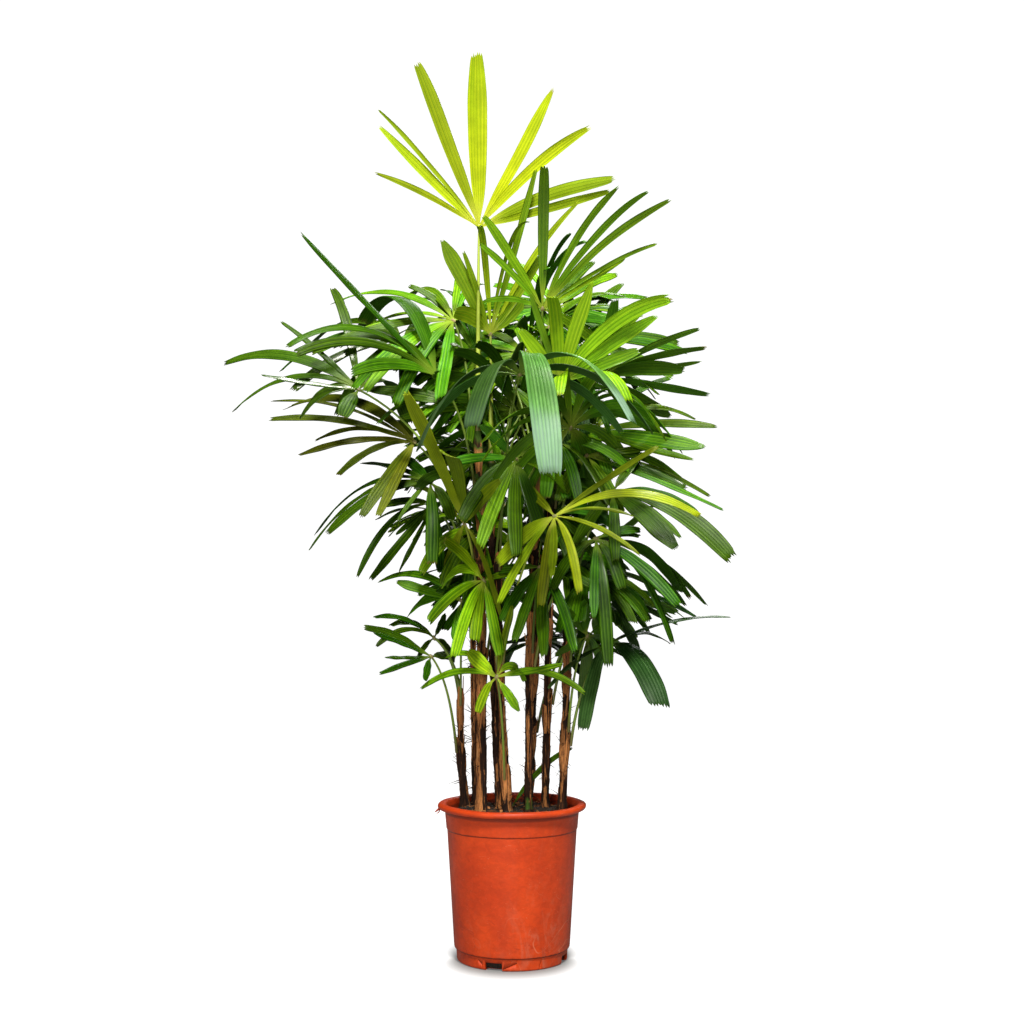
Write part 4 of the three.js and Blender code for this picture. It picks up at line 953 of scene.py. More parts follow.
spareLeaflet = (2, 0.1, 0.92, 0.85)  # for one without a solid, in the order of the tries
leafHeaps = {}
petioleHeap, hubHeap, sleeveHeap = Heap(), Heap(), Heap()
leafCount, between = 0, 0
for number, grown in enumerate(fronds, 1):
    hasSolid = number <= solidFronds
    slot = "leaf_green" if grown["shade"] == "green" else "leaf_deep"
    if hasSolid:
        nodeName = f"frond_{number:02d}"
        node = frame["nodes"][nodeName]
        nodePoints = np.zeros(len(node.data.vertices) * 3)
        node.data.vertices.foreach_get("co", nodePoints)
        nodePoints = nodePoints.reshape(-1, 3) / mm
        slot = slotOf[nodeName]
    axes = fanAxes(grown)
    heap, nodeNames = leafHeaps.setdefault((grown["shade"], slot), (Heap(), []))
    if hasSolid:
        nodeNames.append(nodeName)
    for leaflet in leafletsOf(grown, number):
        placed = findLeaflet(grown["hub"], axes, leaflet, nodePoints) if hasSolid else None
        if not placed:  # a leaflet too many for the solid
            placed = leaflet if grown["blades"] else changed(leaflet, spareLeaflet)
            between += 1
        wide = placed["width"] > leafletForm["splitFrom"] and not grown["blades"]
        fingers = splitLeaflet(placed) if wide else [placed]
        leafCount += len(fingers)
        for finger in fingers:
            addLeaflet(heap, grown["hub"], axes, finger)
    if hasSolid:
        foot, inward, sway = findPetiole(grown, nodePoints)
    else:
        (foot, inward), sway = petioleFoot(grown, 0), 0
    addPetiole(petioleHeap, grown, foot, inward, sway)
    addHub(hubHeap, grown, axes)
    if not grown["onTip"]:
        addSleeve(sleeveHeap, grown, foot, inward)


youngBlade = {  # it comes up out of the soil between the canes' feet
    "foot": (-4, 10, 236), "way": (0.5, 0.08, 0.86), "face": (-0.55, -0.7, 0.45),
    "angle": 0, "length": 138, "width": 11, "droop": 0.7, "narrowing": 0.9, "cup": 0, "roll": 12,
    "seed": 907,
}


def addYoungBlade(heap):
    ahead, face = unit(vector(*youngBlade["way"])), unit(vector(*youngBlade["face"]))
    face = unit(face - (face @ ahead) * ahead)
    addLeaflet(heap, vector(*youngBlade["foot"]), (ahead, face, np.cross(face, ahead)), youngBlade)


# the young blade takes the painted shade of the 'shadow' leaves
addYoungBlade(leafHeaps[("shadow", "leaf_deep")][0])
print("leaflets:", leafCount, "grown,", between, "of them between the solid ones")

for (shade, slot), (heap, nodeNames) in leafHeaps.items():
    name = f"leaflets_{shade}" if slot.endswith(shade) else f"leaflets_{slot[5:]}_{shade}"
    makePiece(name, heap, leafMaterial(shade), nodeNames, sharpAngle=80)


def petioleMaterial():
    material, wires, shader = newMaterial("petioleSkin")
    tone, _, share, pale = wires.tone()
    green = wires.blend(pale, (0.085, 0.190, 0.012, 1), (0.330, 0.420, 0.035, 1))
    streak = wires.noise(wires.stretched(wires.place(), (9, 0.05, 1)), 2.0, detail=3.0)
    colour = wires.blend(wires.between(streak, 0.35, 0.75, 0, 0.5), green, (0.30, 0.38, 0.06, 1))
    foot = wires.between(share, 0.2, 0.0, 0.0, 0.8)
    colour = wires.blend(foot, colour, (0.13, 0.085, 0.03, 1))
    colour = wires.shaded(colour, wires.between(tone, 0, 1, 0.8, 1.2))
    rough = wires.between(streak, 0.2, 0.8, 0.34, 0.5)
    finishSkin(wires, shader, colour, rough, streak, 0.3, 0.0004)
    return material


def hubMaterial():
    material, wires, shader = newMaterial("hubKnob")
    grain = wires.noise(wires.solid(), 420.0, detail=3.0)
    tone = wires.tone()[0]
    colour = wires.blend(wires.between(grain, 0.3, 0.7), (0.22, 0.17, 0.06, 1),
                         (0.42, 0.30, 0.16, 1))
    colour = wires.blend(wires.times(tone, 0.7), colour, (0.16, 0.22, 0.04, 1))
    rough = wires.between(grain, 0.2, 0.8, 0.5, 0.75)
    finishSkin(wires, shader, colour, rough, grain, 0.5, 0.0008)
    return material


def fibreGroup():  # long fibres crossed by finer ones, as in old palm sheaths
    group, wires, given, out = newGroup("fibreWeave", [
        ("Lengthwise", numberKind, 1.0), ("Crossing", numberKind, 0.5),
    ], [("Weave", numberKind), ("Patch", numberKind)])
    place = wires.place()
    around, along, _ = wires.apart(place)
    longFibre = wires.noise(wires.stretched(place, (4.0, 0.022, 1)), 1.0, 4.0, 0.72)
    rising = wires.joined(wires.plus(wires.times(around, 9.0), wires.times(along, 0.42)),
                          wires.times(along, 0.10))
    falling = wires.joined(wires.minus(wires.times(around, 9.0), wires.times(along, 0.36)),
                           wires.times(along, 0.08))
    crossing = wires.greater(wires.noise(rising, 1.9, 2.0, 0.6),
                             wires.noise(falling, 1.7, 2.0, 0.6))
    crossing = wires.times(crossing, given["Crossing"])
    weave = wires.plus(wires.times(longFibre, given["Lengthwise"]), crossing)
    patch = wires.noise(wires.stretched(wires.solid(), (1, 1, 0.3)), 60.0, 3.0, 0.6)
    wires.feed(out["Weave"], weave)
    wires.feed(out["Patch"], patch)
    return group


fibre = fibreGroup()


def fibreMaterial(name, dark, middle, light, tan, lengthwise=1.0, crossing=0.5, rough=(0.7, 0.92),
                  streakSize=(1, 1, 0.12)):
    material, wires, shader = newMaterial(name)
    weave = wires.node("ShaderNodeGroup", node_tree=fibre)
    weave.inputs["Lengthwise"].default_value = lengthwise
    weave.inputs["Crossing"].default_value = crossing
    tone, green, tanMask, _ = wires.tone()
    woven = weave.outputs["Weave"]
    colour = wires.blend(wires.between(woven, 0.58, 0.80), (*dark, 1), (*middle, 1))
    colour = wires.blend(wires.between(woven, 0.80, 0.98, 0, 0.9), colour, (*light, 1))
    patch = wires.between(weave.outputs["Patch"], 0.42, 0.62)
    colour = wires.blend(wires.times(patch, 0.5), colour, (*dark, 1))
    tanned = wires.blend(wires.between(woven, 0.60, 0.88), (*middle, 1), (*tan, 1))
    worn = wires.noise(wires.stretched(wires.solid(), streakSize), 85.0, 2.0, 0.55, 0.4)
    frayed = wires.plus(wires.times(tanMask, 0.8), wires.times(woven, 0.45))
    frayed = wires.plus(frayed, wires.times(worn, 1.8))  # where the dark skin is worn off
    colour = wires.blend(wires.between(frayed, 1.54, 1.64), colour, tanned)
    greenEdge = wires.plus(green, wires.times(woven, 0.4))
    colour = wires.blend(wires.between(greenEdge, 0.62, 1.0), colour, (0.050, 0.105, 0.012, 1))
    colour = wires.shaded(colour, wires.between(tone, 0, 1, 0.72, 1.28))
    finishSkin(wires, shader, colour, wires.between(woven, 0.4, 1.1, *rough), woven, 1.0, 0.0022)
    shader.inputs["Specular IOR Level"].default_value = 0.22
    return material


caneFibre = fibreMaterial("caneFibre", (0.0035, 0.0020, 0.0012), (0.034, 0.0125, 0.0055),
                          (0.150, 0.058, 0.022), (0.60, 0.24, 0.075))
sheathFibre = fibreMaterial("sheathFibre", (0.080, 0.026, 0.009), (0.38, 0.145, 0.045),
                            (0.72, 0.38, 0.15), (0.80, 0.48, 0.20), 1.1, 0.12, (0.55, 0.8))
hairFibre = fibreMaterial("hairFibre", (0.004, 0.002, 0.001), (0.012, 0.006, 0.003),
                          (0.040, 0.020, 0.010), (0.10, 0.045, 0.018))
makePiece("petioles", petioleHeap, petioleMaterial())
makePiece("hubKnobs", hubHeap, hubMaterial())
makePiece("leafBases", sleeveHeap, caneFibre)

caneForm = {
    "sides": 40, "ringStep": 2.6, "slim": 0.84,
    "thick": {"tall": 1.14, "inner": 1.2, "front": 1.1, "leftShort": 1.12}, "thickUpTo": 0.6,
    "sheath": (26, 58),  # mm from one old leaf base to the next
    "sheathProud": 1.3, "rag": 10,
    "slant": 15,  # how far one side of a sheath's mouth stands over the other
    "slantTurn": 2.4, "slantTwist": 0.045,  # radians from cane to cane, and for each mm up
    "fineRag": 5, "sheathSwell": 1.4, "sheathEdge": 9, "sheathLevel": 0.35,
    "fibreRelief": 0.55, "lumps": 1.1, "rings": 0.25, "smooth": (1.15, 0.25),
    "tanRange": (0.25, 0.2),  # along a cane, and from sheath to sheath
    "tanEnd": (0.45, 0.2),  # the share of the way up where it fades, and over how much
    "tones": (0.5, 0.4),
    "greenFrom": 0.82, "green": 0.9,  # the youngest part of a cane is green
    "sunk": 5,
    "greenJoint": (4, 34), "paleRing": 20,  # mm over the soil, on the bent cane
    "jointEdges": (6, 12), "jointGreen": (0.62, 0.3), "ringWidth": 2.5,
    "jointSlim": 0.28,  # the share of its radius that the joint is slimmer by
    "tan": {"tall": 0.34, "front": 0.4, "bent": 0.2, "right": 0.2, "rightOuter": 0.34,
            "inner": 0.15},  # how much of the cane is worn down to its light fibre
    "tanElsewhere": 0.1,
}


def flare(z):  # how much a cane widens just over the soil
    return growth["flareGain"] * np.clip(1 - z / growth["flareLength"], 0, 1) ** 1.5


def makeCane(index, cane):
    form = caneForm
    tipHeight = canes[cane][2][2]
    low = growth["soilTop"] + growth["clearance"]
    length = tipHeight - low
    rows, sides = int(length / form["ringStep"]) + 1, form["sides"]
    z = np.linspace(0, length, rows)
    share = z / length
    middle, radius = caneLine(cane, share)
    middle[0, 2] -= form["sunk"]
    turn, column = fullTurn(sides), np.arange(sides)
    stops, reached = [0.0], 0.0
    while reached < length + 60:
        reached += mix(*form["sheath"], chance(index + 3, len(stops)))
        stops.append(reached)
    stops = np.array(stops)
    facing = np.cos(turn[None] - form["slantTurn"] * index - z[:, None] * form["slantTwist"])
    ragged = z[:, None] + form["slant"] * facing
    ragged = ragged + form["rag"] * softNoise(z[:, None] * 0.02, column[None] * 0.4, index, 16)
    fineRag = softNoise(z[:, None] * 0.05, column[None], index + 5, sides)
    ragged = ragged + form["fineRag"] * fineRag
    ragged = np.clip(ragged, 0, None)
    which = np.clip(np.searchsorted(stops, ragged, side="right") - 1, 0, len(stops) - 2)
    within = (ragged - stops[which]) / (stops[which + 1] - stops[which])
    swell = within ** form["sheathSwell"] * easeIn((1 - within) * form["sheathEdge"])
    relief = form["sheathProud"] * (swell - form["sheathLevel"])
    fibres = softNoise(z[:, None] * 0.03, column[None], index + 20, sides)
    relief += form["fibreRelief"] * fibres
    relief += form["lumps"] * softNoise(z[:, None] * 0.03, column[None] * 0.2, index + 40, 8)
    relief += form["rings"] * softNoise(z[:, None] * 0.38, column[None] * 0.1, index + 50, 4)
    relief *= np.clip(form["smooth"][0] - share, form["smooth"][1], 1)[:, None]
    thick = mix(form["thick"].get(cane, 1.0), 1.0, np.clip(share / form["thickUpTo"], 0, 1))
    wall = (form["slim"] * thick * radius * (1 + flare(z)))[:, None] + relief
    points = middle[:, None] + levelWays(turn)[None] * wall[..., None]
    ends = np.stack([middle[0], middle[-1] + up * 1.5])
    sheathChance = np.array([chance(index + 60, n) for n in range(len(stops))])
    tone = np.zeros((rows, sides, 4))
    plain, spread = form["tones"]
    tone[..., 0] = plain + spread * softNoise(z[:, None] * 0.02, column[None] * 0.2, index + 80, 6)
    slow, stepped = form["tanRange"]
    tan = form["tan"].get(cane, form["tanElsewhere"])
    tan = tan + slow * softNoise(z[:, None] * 0.012, 0.5, index + 90)
    tan = tan + stepped * (sheathChance[which] - 0.5)
    fadeFrom, fadeOver = form["tanEnd"]
    tone[..., 2] = np.clip(tan, 0, 1) * (1 - easeIn((share[:, None] - fadeFrom) / fadeOver))
    greening = easeIn((share - form["greenFrom"]) / (1 - form["greenFrom"]))
    tone[..., 1] = greening[:, None] * form["green"]
    if cane == "bent":  # its foot shows one green joint
        low, high = form["greenJoint"]
        below, above = form["jointEdges"]
        joint = easeIn((z - low) / below) * easeIn((high - z) / above)
        points = mix(points, middle[:, None], form["jointSlim"] * joint[:, None, None])
        plain, spread = form["jointGreen"]
        patchy = plain + spread * softNoise(z[:, None] * 0.06, column[None] * 0.3, index + 70, 12)
        tone[..., 1] = np.maximum(tone[..., 1], patchy * joint[:, None])
        ring = easeIn(1 - np.abs(z - form["paleRing"]) / form["ringWidth"])
        tone[..., 2] = mix(tone[..., 2] * (1 - joint[:, None]), 1.0, ring[:, None])
    place = np.stack(np.broadcast_arrays(turn[None] / (2 * math.pi) * 6, z[:, None]), -1)
    heap = Heap()
    heap.add(np.concatenate([points.reshape(-1, 3), ends]), gridQuads(rows, sides, True),
             capTris(rows, sides), np.concatenate([place.reshape(-1, 2), [[0, 0], [0, length]]]),
             np.concatenate([tone.reshape(-1, 4), np.full((2, 4), 0.3)]))
    makePiece("fibreCane_" + cane, heap, caneFibre, ["cane_" + cane], sharpAngle=70)


for index, cane in enumerate(canes):
    makeCane(index, cane)


stripForm = {
    "each": (6, 11), "length": (45, 160), "halfAngle": (0.18, 0.6), "rows": 24, "columns": 9,
    "proud": 0.5, "peel": (0, 5), "thickness": 0.6, "highest": 0.5, "point": 0.05,
    "fullest": (0.1, 0.45), "lower": 1.3,  # more of them grow low on the cane
    "wander": 0.25, "curl": 0.5, "hollow": 0.5,
}
hairForm = {
    "each": 96, "length": (6, 24), "radius": (0.3, 0.6), "steps": 5, "lean": (0.15, 1.1),
    "spikes": 16, "spikeLength": (8, 20), "spikeRadius": 0.95, "spikeLean": (0.8, 2.0),
    "shares": (0.01, 0.8), "lower": 1.2,  # where on the cane
    "rise": (1, 1, 1, -0.4), "aside": 0.5,  # one in four points down
    "bend": 0.3, "sag": 0.5, "bendAside": 0.4, "thinning": 0.8,
}


def addStrip(heap, rng, cane, reachedHeight):
    form = stripForm
    length = rng.uniform(*form["length"])
    low = growth["soilTop"]
    tipHeight = canes[cane][2][2]
    start = low + rng.uniform(0, 1) ** form["lower"] * reachedHeight
    z = np.linspace(start, start + length, form["rows"])
    share = np.clip((z - low) / (tipHeight - low), 0, 1)
    middle, radius = caneLine(cane, share)
    middle[:, 2] = z
    along = np.linspace(0, 1, form["rows"])
    fullest = rng.uniform(*form["fullest"])
    taper = np.where(along < fullest, easeIn(along / fullest),
                     1 - (along - fullest) / (1 - fullest))
    halfAngle = rng.uniform(*form["halfAngle"]) * np.maximum(taper, form["point"])
    centre = rng.uniform(0, 2 * math.pi) + form["wander"] * np.sin(along * 3 + rng.uniform(0, 6))
    t = np.linspace(-1, 1, form["columns"])
    turn = centre[:, None] + halfAngle[:, None] * t[None]
    direction = levelWays(turn)
    peel = rng.uniform(*form["peel"]) * along ** 3
    curl = form["curl"] * np.sin(along * 9 + rng.uniform(0, 6))[:, None] * t[None]
    wall = caneForm["slim"] * radius * (1 + flare(z - low)) + form["proud"] + peel
    wall = wall[:, None] + curl - form["hollow"] * np.abs(t)[None] ** 2
    outer = middle[:, None] + direction * wall[..., None]
    inner = outer - direction * form["thickness"]
    tone = np.zeros((2, form["rows"], form["columns"], 4))
    tone[..., 0] = rng.uniform(0, 1)
    tone[..., 2] = rng.uniform(0, 1)
    place = np.stack([turn / (2 * math.pi) * 6, np.broadcast_to(z[:, None], turn.shape)], -1)
    heap.add(np.stack([outer, inner]).reshape(-1, 3), shellQuads(form["rows"], form["columns"]),
             None, np.stack([place, place]).reshape(-1, 2), tone.reshape(-1, 4))


def addHair(heap, rng, cane, spike):
    form = hairForm
    share = rng.uniform(*form["shares"]) ** form["lower"]
    middle, radius = caneLine(cane, share)
    turn = rng.uniform(0, 2 * math.pi)
    outward = vector(math.cos(turn), math.sin(turn), 0)
    sideways = vector(-math.sin(turn), math.cos(turn), 0)
    length = rng.uniform(*form["spikeLength" if spike else "length"])
    lean = rng.uniform(*form["spikeLean" if spike else "lean"])
    way = up * rng.choice(form["rise"]) + outward * lean
    way = unit(way + sideways * rng.normal(0, form["aside"]))
    bend = outward * rng.normal(0, form["bend"]) - up * rng.uniform(0, form["sag"])
    bend = bend + sideways * rng.normal(0, form["bendAside"])
    t = np.linspace(0, 1, form["steps"])[:, None]
    start = middle + outward * caneForm["slim"] * radius
    path = start + way * t * length + bend * t * t * length * 0.5
    thick = form["spikeRadius"] if spike else rng.uniform(*form["radius"])
    radii = thick * (1 - form["thinning"] * t[:, 0])
    points, quads, tris, places = tube(path, radii, 3, 1.0, sideways)
    heap.add(points, quads, tris, places, (rng.uniform(0, 1), 0, rng.uniform(0, 0.4), 0))


rng = np.random.default_rng(31)
stripHeap, hairHeap = Heap(), Heap()
for cane in canes:
    reachedHeight = (canes[cane][2][2] - growth["soilTop"]) * stripForm["highest"]
    for _ in range(rng.integers(*stripForm["each"])):
        addStrip(stripHeap, rng, cane, reachedHeight)
    for count in range(hairForm["each"]):
        addHair(hairHeap, rng, cane, spike=count < hairForm["spikes"])
makePiece("splitSheaths", stripHeap, sheathFibre)
makePiece("looseFibres", hairHeap, hairFibre)


soilForm = {
    "rings": 46, "sides": 120, "radii": (1.5, 102.3), "height": growth["soilTop"],
    "side": ((101, 200), (89.5, 24), (82.5, 3.2), (40, 3.2)),  # radius and height, down and under
    "edgeFrom": 84, "edgeWidth": 18, "edgeDrop": 5,
    "lumps": ((0.05, 1.56, 3), (0.14, 0.78, 4), (0.4, 0.78, 5)),  # waves per mm, mm, seed
    "mound": 3.5, "moundReach": 9,  # round each cane's foot
}
clodForm = {
    "count": 420, "size": (1.2, 4.6), "reach": 99, "rings": 4, "sides": 7,
    "uneven": (0.75, 1.25), "long": (0.8, 1.3), "flat": (0.55, 0.9), "raised": 0.25,
}
chipForm = {"count": 70, "length": (4, 10), "raised": 1.6, "lift": 2, "radius": (1.2, 2.6)}
strawForm = {"count": 26, "length": (14, 34), "raised": 1.2, "lift": 9, "radius": 0.7}
scatter = {"reach": 94, "edge": 97, "outline": (0.6, 1, 1, 0.9, 0.5), "sides": 5, "flat": 0.5}


def soilHeight(x, y):
    form = soilForm
    fall = easeIn((np.hypot(x, y) - form["edgeFrom"]) / form["edgeWidth"])
    z = form["height"] - form["edgeDrop"] * fall
    for scale, height, seed in form["lumps"]:
        z = z + height * softNoise(x * scale + 50, y * scale + 50, seed)
    for foot, _, _, radii in canes.values():
        gap = np.hypot(x - foot[0], y - foot[1]) - radii[0]
        z = z + form["mound"] * np.exp(-np.clip(gap, 0, None) / form["moundReach"])
    return z


def makeSoil(material):
    form = soilForm
    turn = fullTurn(form["sides"])
    radii = np.linspace(*form["radii"], form["rings"])[:, None]
    x, y = radii * np.cos(turn), radii * np.sin(turn)
    top = np.stack([x, y, soilHeight(x, y)], -1)
    side = [levelWays(turn) * radius + up * height for radius, height in form["side"]]
    points = np.concatenate([top, np.stack(side)])
    ends = np.array([[0, 0, soilHeight(0.0, 0.0)], [0, 0, form["side"][-1][1]]])
    heap = Heap()
    heap.add(np.concatenate([points.reshape(-1, 3), ends]),
             gridQuads(len(points), form["sides"], True)[:, ::-1],
             capTris(len(points), form["sides"])[:, ::-1])
    makePiece("soilBed", heap, material, ["soil"], sharpAngle=80)


def addClod(heap, rng):
    form, rows, sides = clodForm, clodForm["rings"], clodForm["sides"]
    r, turn = form["reach"] * math.sqrt(rng.uniform(0, 1)), rng.uniform(0, 2 * math.pi)
    x, y = r * math.cos(turn), r * math.sin(turn)
    size = mix(*form["size"], rng.uniform(0, 1) ** 2.5)
    polar = np.linspace(0, math.pi, rows + 2)[1:-1, None]
    circle = fullTurn(sides)
    lump = size * rng.uniform(*form["uneven"], (rows, sides))
    points = np.stack([np.sin(polar) * np.cos(circle) * lump * rng.uniform(*form["long"]),
                       np.sin(polar) * np.sin(circle) * lump,
                       np.cos(polar) * lump * rng.uniform(*form["flat"])], -1)
    ends = np.array([[0, 0, size * 0.7], [0, 0, -size * 0.7]])
    points = np.concatenate([points.reshape(-1, 3), ends])
    points = points + vector(x, y, float(soilHeight(x, y)) + size * form["raised"])
    heap.add(points, gridQuads(rows, sides, True)[:, ::-1], capTris(rows, sides)[:, ::-1],
             tone=(rng.uniform(0, 1), 0, 0, 0))


def addChip(heap, rng, form):  # bits of bark and straw that lie on the soil
    r, turn = scatter["reach"] * math.sqrt(rng.uniform(0.05, 1)), rng.uniform(0, 2 * math.pi)
    x, y = r * math.cos(turn), r * math.sin(turn)
    way = rng.uniform(0, 2 * math.pi)
    steps = len(scatter["outline"])
    along = np.linspace(-0.5, 0.5, steps) * rng.uniform(*form["length"])
    path = np.stack([x + along * math.cos(way), y + along * math.sin(way)], -1)
    path *= np.minimum(1, scatter["edge"] / np.maximum(np.hypot(*path.T), 1))[:, None]
    z = soilHeight(path[:, 0], path[:, 1]) + form["raised"]
    z = z + np.linspace(0, rng.uniform(0, form["lift"]), steps)
    thick = form["radius"] if form is strawForm else rng.uniform(*form["radius"])
    points, quads, tris, places = tube(
        np.column_stack([path, z]), thick * np.array(scatter["outline"]), scatter["sides"],
        scatter["flat"], up)
    heap.add(points, quads, tris, places, (rng.uniform(0, 1), 0, rng.uniform(0, 1), 0))


def soilMaterial():
    material, wires, shader = newMaterial("pottingSoil")
    fine = wires.noise(wires.solid(), 480.0, 4.0, 0.7)
    coarse = wires.noise(wires.solid(), 90.0, 3.0, 0.6)
    tone = wires.tone()[0]
    colour = wires.blend(wires.between(fine, 0.35, 0.7),
                         (0.006, 0.004, 0.003, 1), (0.05, 0.032, 0.02, 1))
    colour = wires.blend(wires.between(coarse, 0.5, 0.7, 0, 0.5), colour, (0.03, 0.018, 0.01, 1))
    speck = wires.between(wires.noise(wires.solid(), 900.0, 1.0), 0.70, 0.76, 0, 0.6)
    colour = wires.blend(speck, colour, (0.22, 0.16, 0.10, 1))
    colour = wires.shaded(colour, wires.between(tone, 0, 1, 0.6, 1.5))
    finishSkin(wires, shader, colour, wires.between(coarse, 0.3, 0.7, 0.82, 0.98), fine, 1.0, 0.002)
    return material


soilSkin = soilMaterial()
makeSoil(soilSkin)
clodHeap, chipHeap = Heap(), Heap()
for _ in range(clodForm["count"]):
    addClod(clodHeap, rng)
for form in (strawForm, chipForm):
    for _ in range(form["count"]):
        addChip(chipHeap, rng, form)
makePiece("soilClods", clodHeap, soilSkin)
makePiece("barkBits", chipHeap, sheathFibre)


potForm = {
    "footRadius": 89, "footHeight": 19, "lowerRadius": 93.5, "upperRadius": 104.6,
    "stepHeight": 212, "collarRadius": 106.4, "lipHeight": 242, "height": 252, "lipRadius": 120,
    "wall": 2.6, "sides": 192, "roundSteps": 4,
    "lipWarp": (0.5, 0.7), "warpFrom": 236, "warpRise": 8,  # outwards and up, mm
    "drains": 4, "drainWidth": 30, "drainHeight": 13, "drainDepth": 20, "firstDrain": -109,
    "drainTaper": 1.5,
    # for each crack: degrees round the foot, height and length in mm, slope in degrees
    "cracks": ((-92, 8.5, 24, 24), (-61, 6, 14, 78), (-124, 12, 10, -40)),
    "crackWidth": 0.8, "crackDepth": 14,
    "shreds": ((((-117, -14, 244), (-120, -15, 241), (-124, -16, 238)), 1.6),
               (((-116, -17, 243), (-117, -19, 239), (-121, -20, 236)), 1.0)),  # torn off the lip
    # in metres: the height of each seam, where painted shade darkens the crease, and how far from
    # it that shade starts and is full
    "seams": ((0.2105, (0.0016, 0.0003)), (0.239, (0.005, 0.0012)), (0.0205, (0.0018, 0.0004))),
}


def roundedProfile(corners):  # radius, height, rounding
    points = []
    for index, (r, z, rounding) in enumerate(corners):
        here = vector(r, z)
        if rounding == 0:
            points.append(here)
            continue
        before, after = vector(*corners[index - 1][:2]), vector(*corners[index + 1][:2])
        reachA = min(rounding, np.linalg.norm(before - here) * 0.49)
        reachB = min(rounding, np.linalg.norm(after - here) * 0.49)
        start = here + unit(before - here) * reachA
        end = here + unit(after - here) * reachB
        for t in np.linspace(0, 1, potForm["roundSteps"]):
            points.append((1 - t) ** 2 * start + 2 * t * (1 - t) * here + t * t * end)
    return np.array(points)


def boxCutter(size, middle, turn, taper=0.0, slope=0.0):
    x, y, z = (length / 2 for length in size)
    corners = [(sx * x, sy * (y - (taper if sz > 0 else 0)), sz * z)
               for sz in (-1, 1) for sx, sy in ((-1, -1), (1, -1), (1, 1), (-1, 1))]
    faces = [(3, 2, 1, 0), (4, 5, 6, 7), (0, 1, 5, 4), (1, 2, 6, 5), (2, 3, 7, 6), (3, 0, 4, 7)]
    mesh = bpy.data.meshes.new("cutter")
    c, s = math.cos(turn), math.sin(turn)
    level, rise = math.cos(slope), math.sin(slope)
    points = []
    for px, py, pz in corners:
        py, pz = py * level - pz * rise, py * rise + pz * level
        px, py, pz = px + middle[0], py + middle[1], pz + middle[2]
        points.append(((px * c - py * s) * mm, (px * s + py * c) * mm, pz * mm))
    mesh.from_pydata(points, [], faces)
    return addObject("cutter", mesh)


def cutAway(piece, cutters):
    for cutter in cutters:
        modifier = piece.modifiers.new("cut", "BOOLEAN")
        modifier.operation, modifier.solver, modifier.object = "DIFFERENCE", "EXACT", cutter
    shown = piece.evaluated_get(bpy.context.evaluated_depsgraph_get())
    mesh = bpy.data.meshes.new_from_object(shown)
    piece.modifiers.clear()
    piece.data = mesh
    for cutter in cutters:
        bpy.data.objects.remove(cutter)


def potMaterial():
    material, wires, shader = newMaterial("mouldedPlastic")
    solid = wires.solid()
    height = wires.apart(solid)[2]
    cloud = wires.noise(solid, 9.0, 4.0, 0.6, 0.6)
    fine = wires.noise(solid, 260.0, 3.0, 0.6)
    smear = wires.noise(wires.stretched(solid, (14, 14, 5)), 2.4, 5.0, 0.7, 1.4)
    low = wires.between(height, 0.17, 0.03)
    rightwards = wires.between(wires.apart(solid)[0], -0.03, 0.07, 0.15, 1.0)
    worn = wires.times(wires.plus(low, 0.2), rightwards)
    dust = wires.times(wires.between(smear, 0.46, 0.70), worn, True)
    base = wires.blend(wires.between(cloud, 0.35, 0.65),
                       (0.53, 0.044, 0.006, 1), (0.66, 0.062, 0.008, 1))
    mottle = wires.noise(wires.stretched(solid, (1, 1, 1.5)), 78.0, 5.0, 0.7, 0.5)
    base = wires.shaded(base, wires.between(mottle, 0.32, 0.68, 0.92, 1.12))
    colour = wires.blend(wires.times(dust, 0.42), base, (0.62, 0.20, 0.12, 1))
    grime = wires.between(wires.noise(solid, 26.0, 4.0, 0.7, 2.0), 0.58, 0.66, 0.0, 0.45)
    colour = wires.blend(wires.times(grime, low), colour, (0.34, 0.030, 0.010, 1))
    scuffed = wires.minus(wires.noise(solid, 13.0, 1.5, 0.5, 1.6), 0.5)
    scuffed = wires.between(wires.absolute(scuffed), 0.010, 0.003)
    scuffed = wires.times(scuffed, wires.between(wires.noise(solid, 21.0), 0.46, 0.60))
    scuffed = wires.times(scuffed, worn, True)
    scratchPlace = wires.stretched(solid, (30, 30, 150))
    scratch = wires.between(wires.noise(scratchPlace, 2.0, 2.0, 0.5, 3.0), 0.715, 0.735, 0.0, 0.5)
    scratch = wires.greater(scratch, wires.times(scuffed, 0.45))
    colour = wires.blend(scratch, colour, (0.74, 0.26, 0.14, 1))
    uneven = wires.plus(height, wires.times(wires.minus(mottle, 0.5), 0.004))
    # painted shade in the creases at the collar step, under the lip and over the foot
    seamShade = 0.0
    for seam, reach in potForm["seams"]:
        seamShade = wires.greater(seamShade, wires.between(wires.absolute(wires.minus(uneven, seam)), *reach))
    colour = wires.blend(wires.times(seamShade, 0.75), colour, (0.13, 0.018, 0.006, 1))
    rough = wires.plus(wires.between(smear, 0.3, 0.7, 0.40, 0.52), wires.times(dust, 0.2))
    relief = wires.minus(wires.times(fine, 0.5), scratch)
    finishSkin(wires, shader, colour, rough, relief, 0.25, 0.0005)
    shader.inputs["Specular IOR Level"].default_value = 0.3
    return material


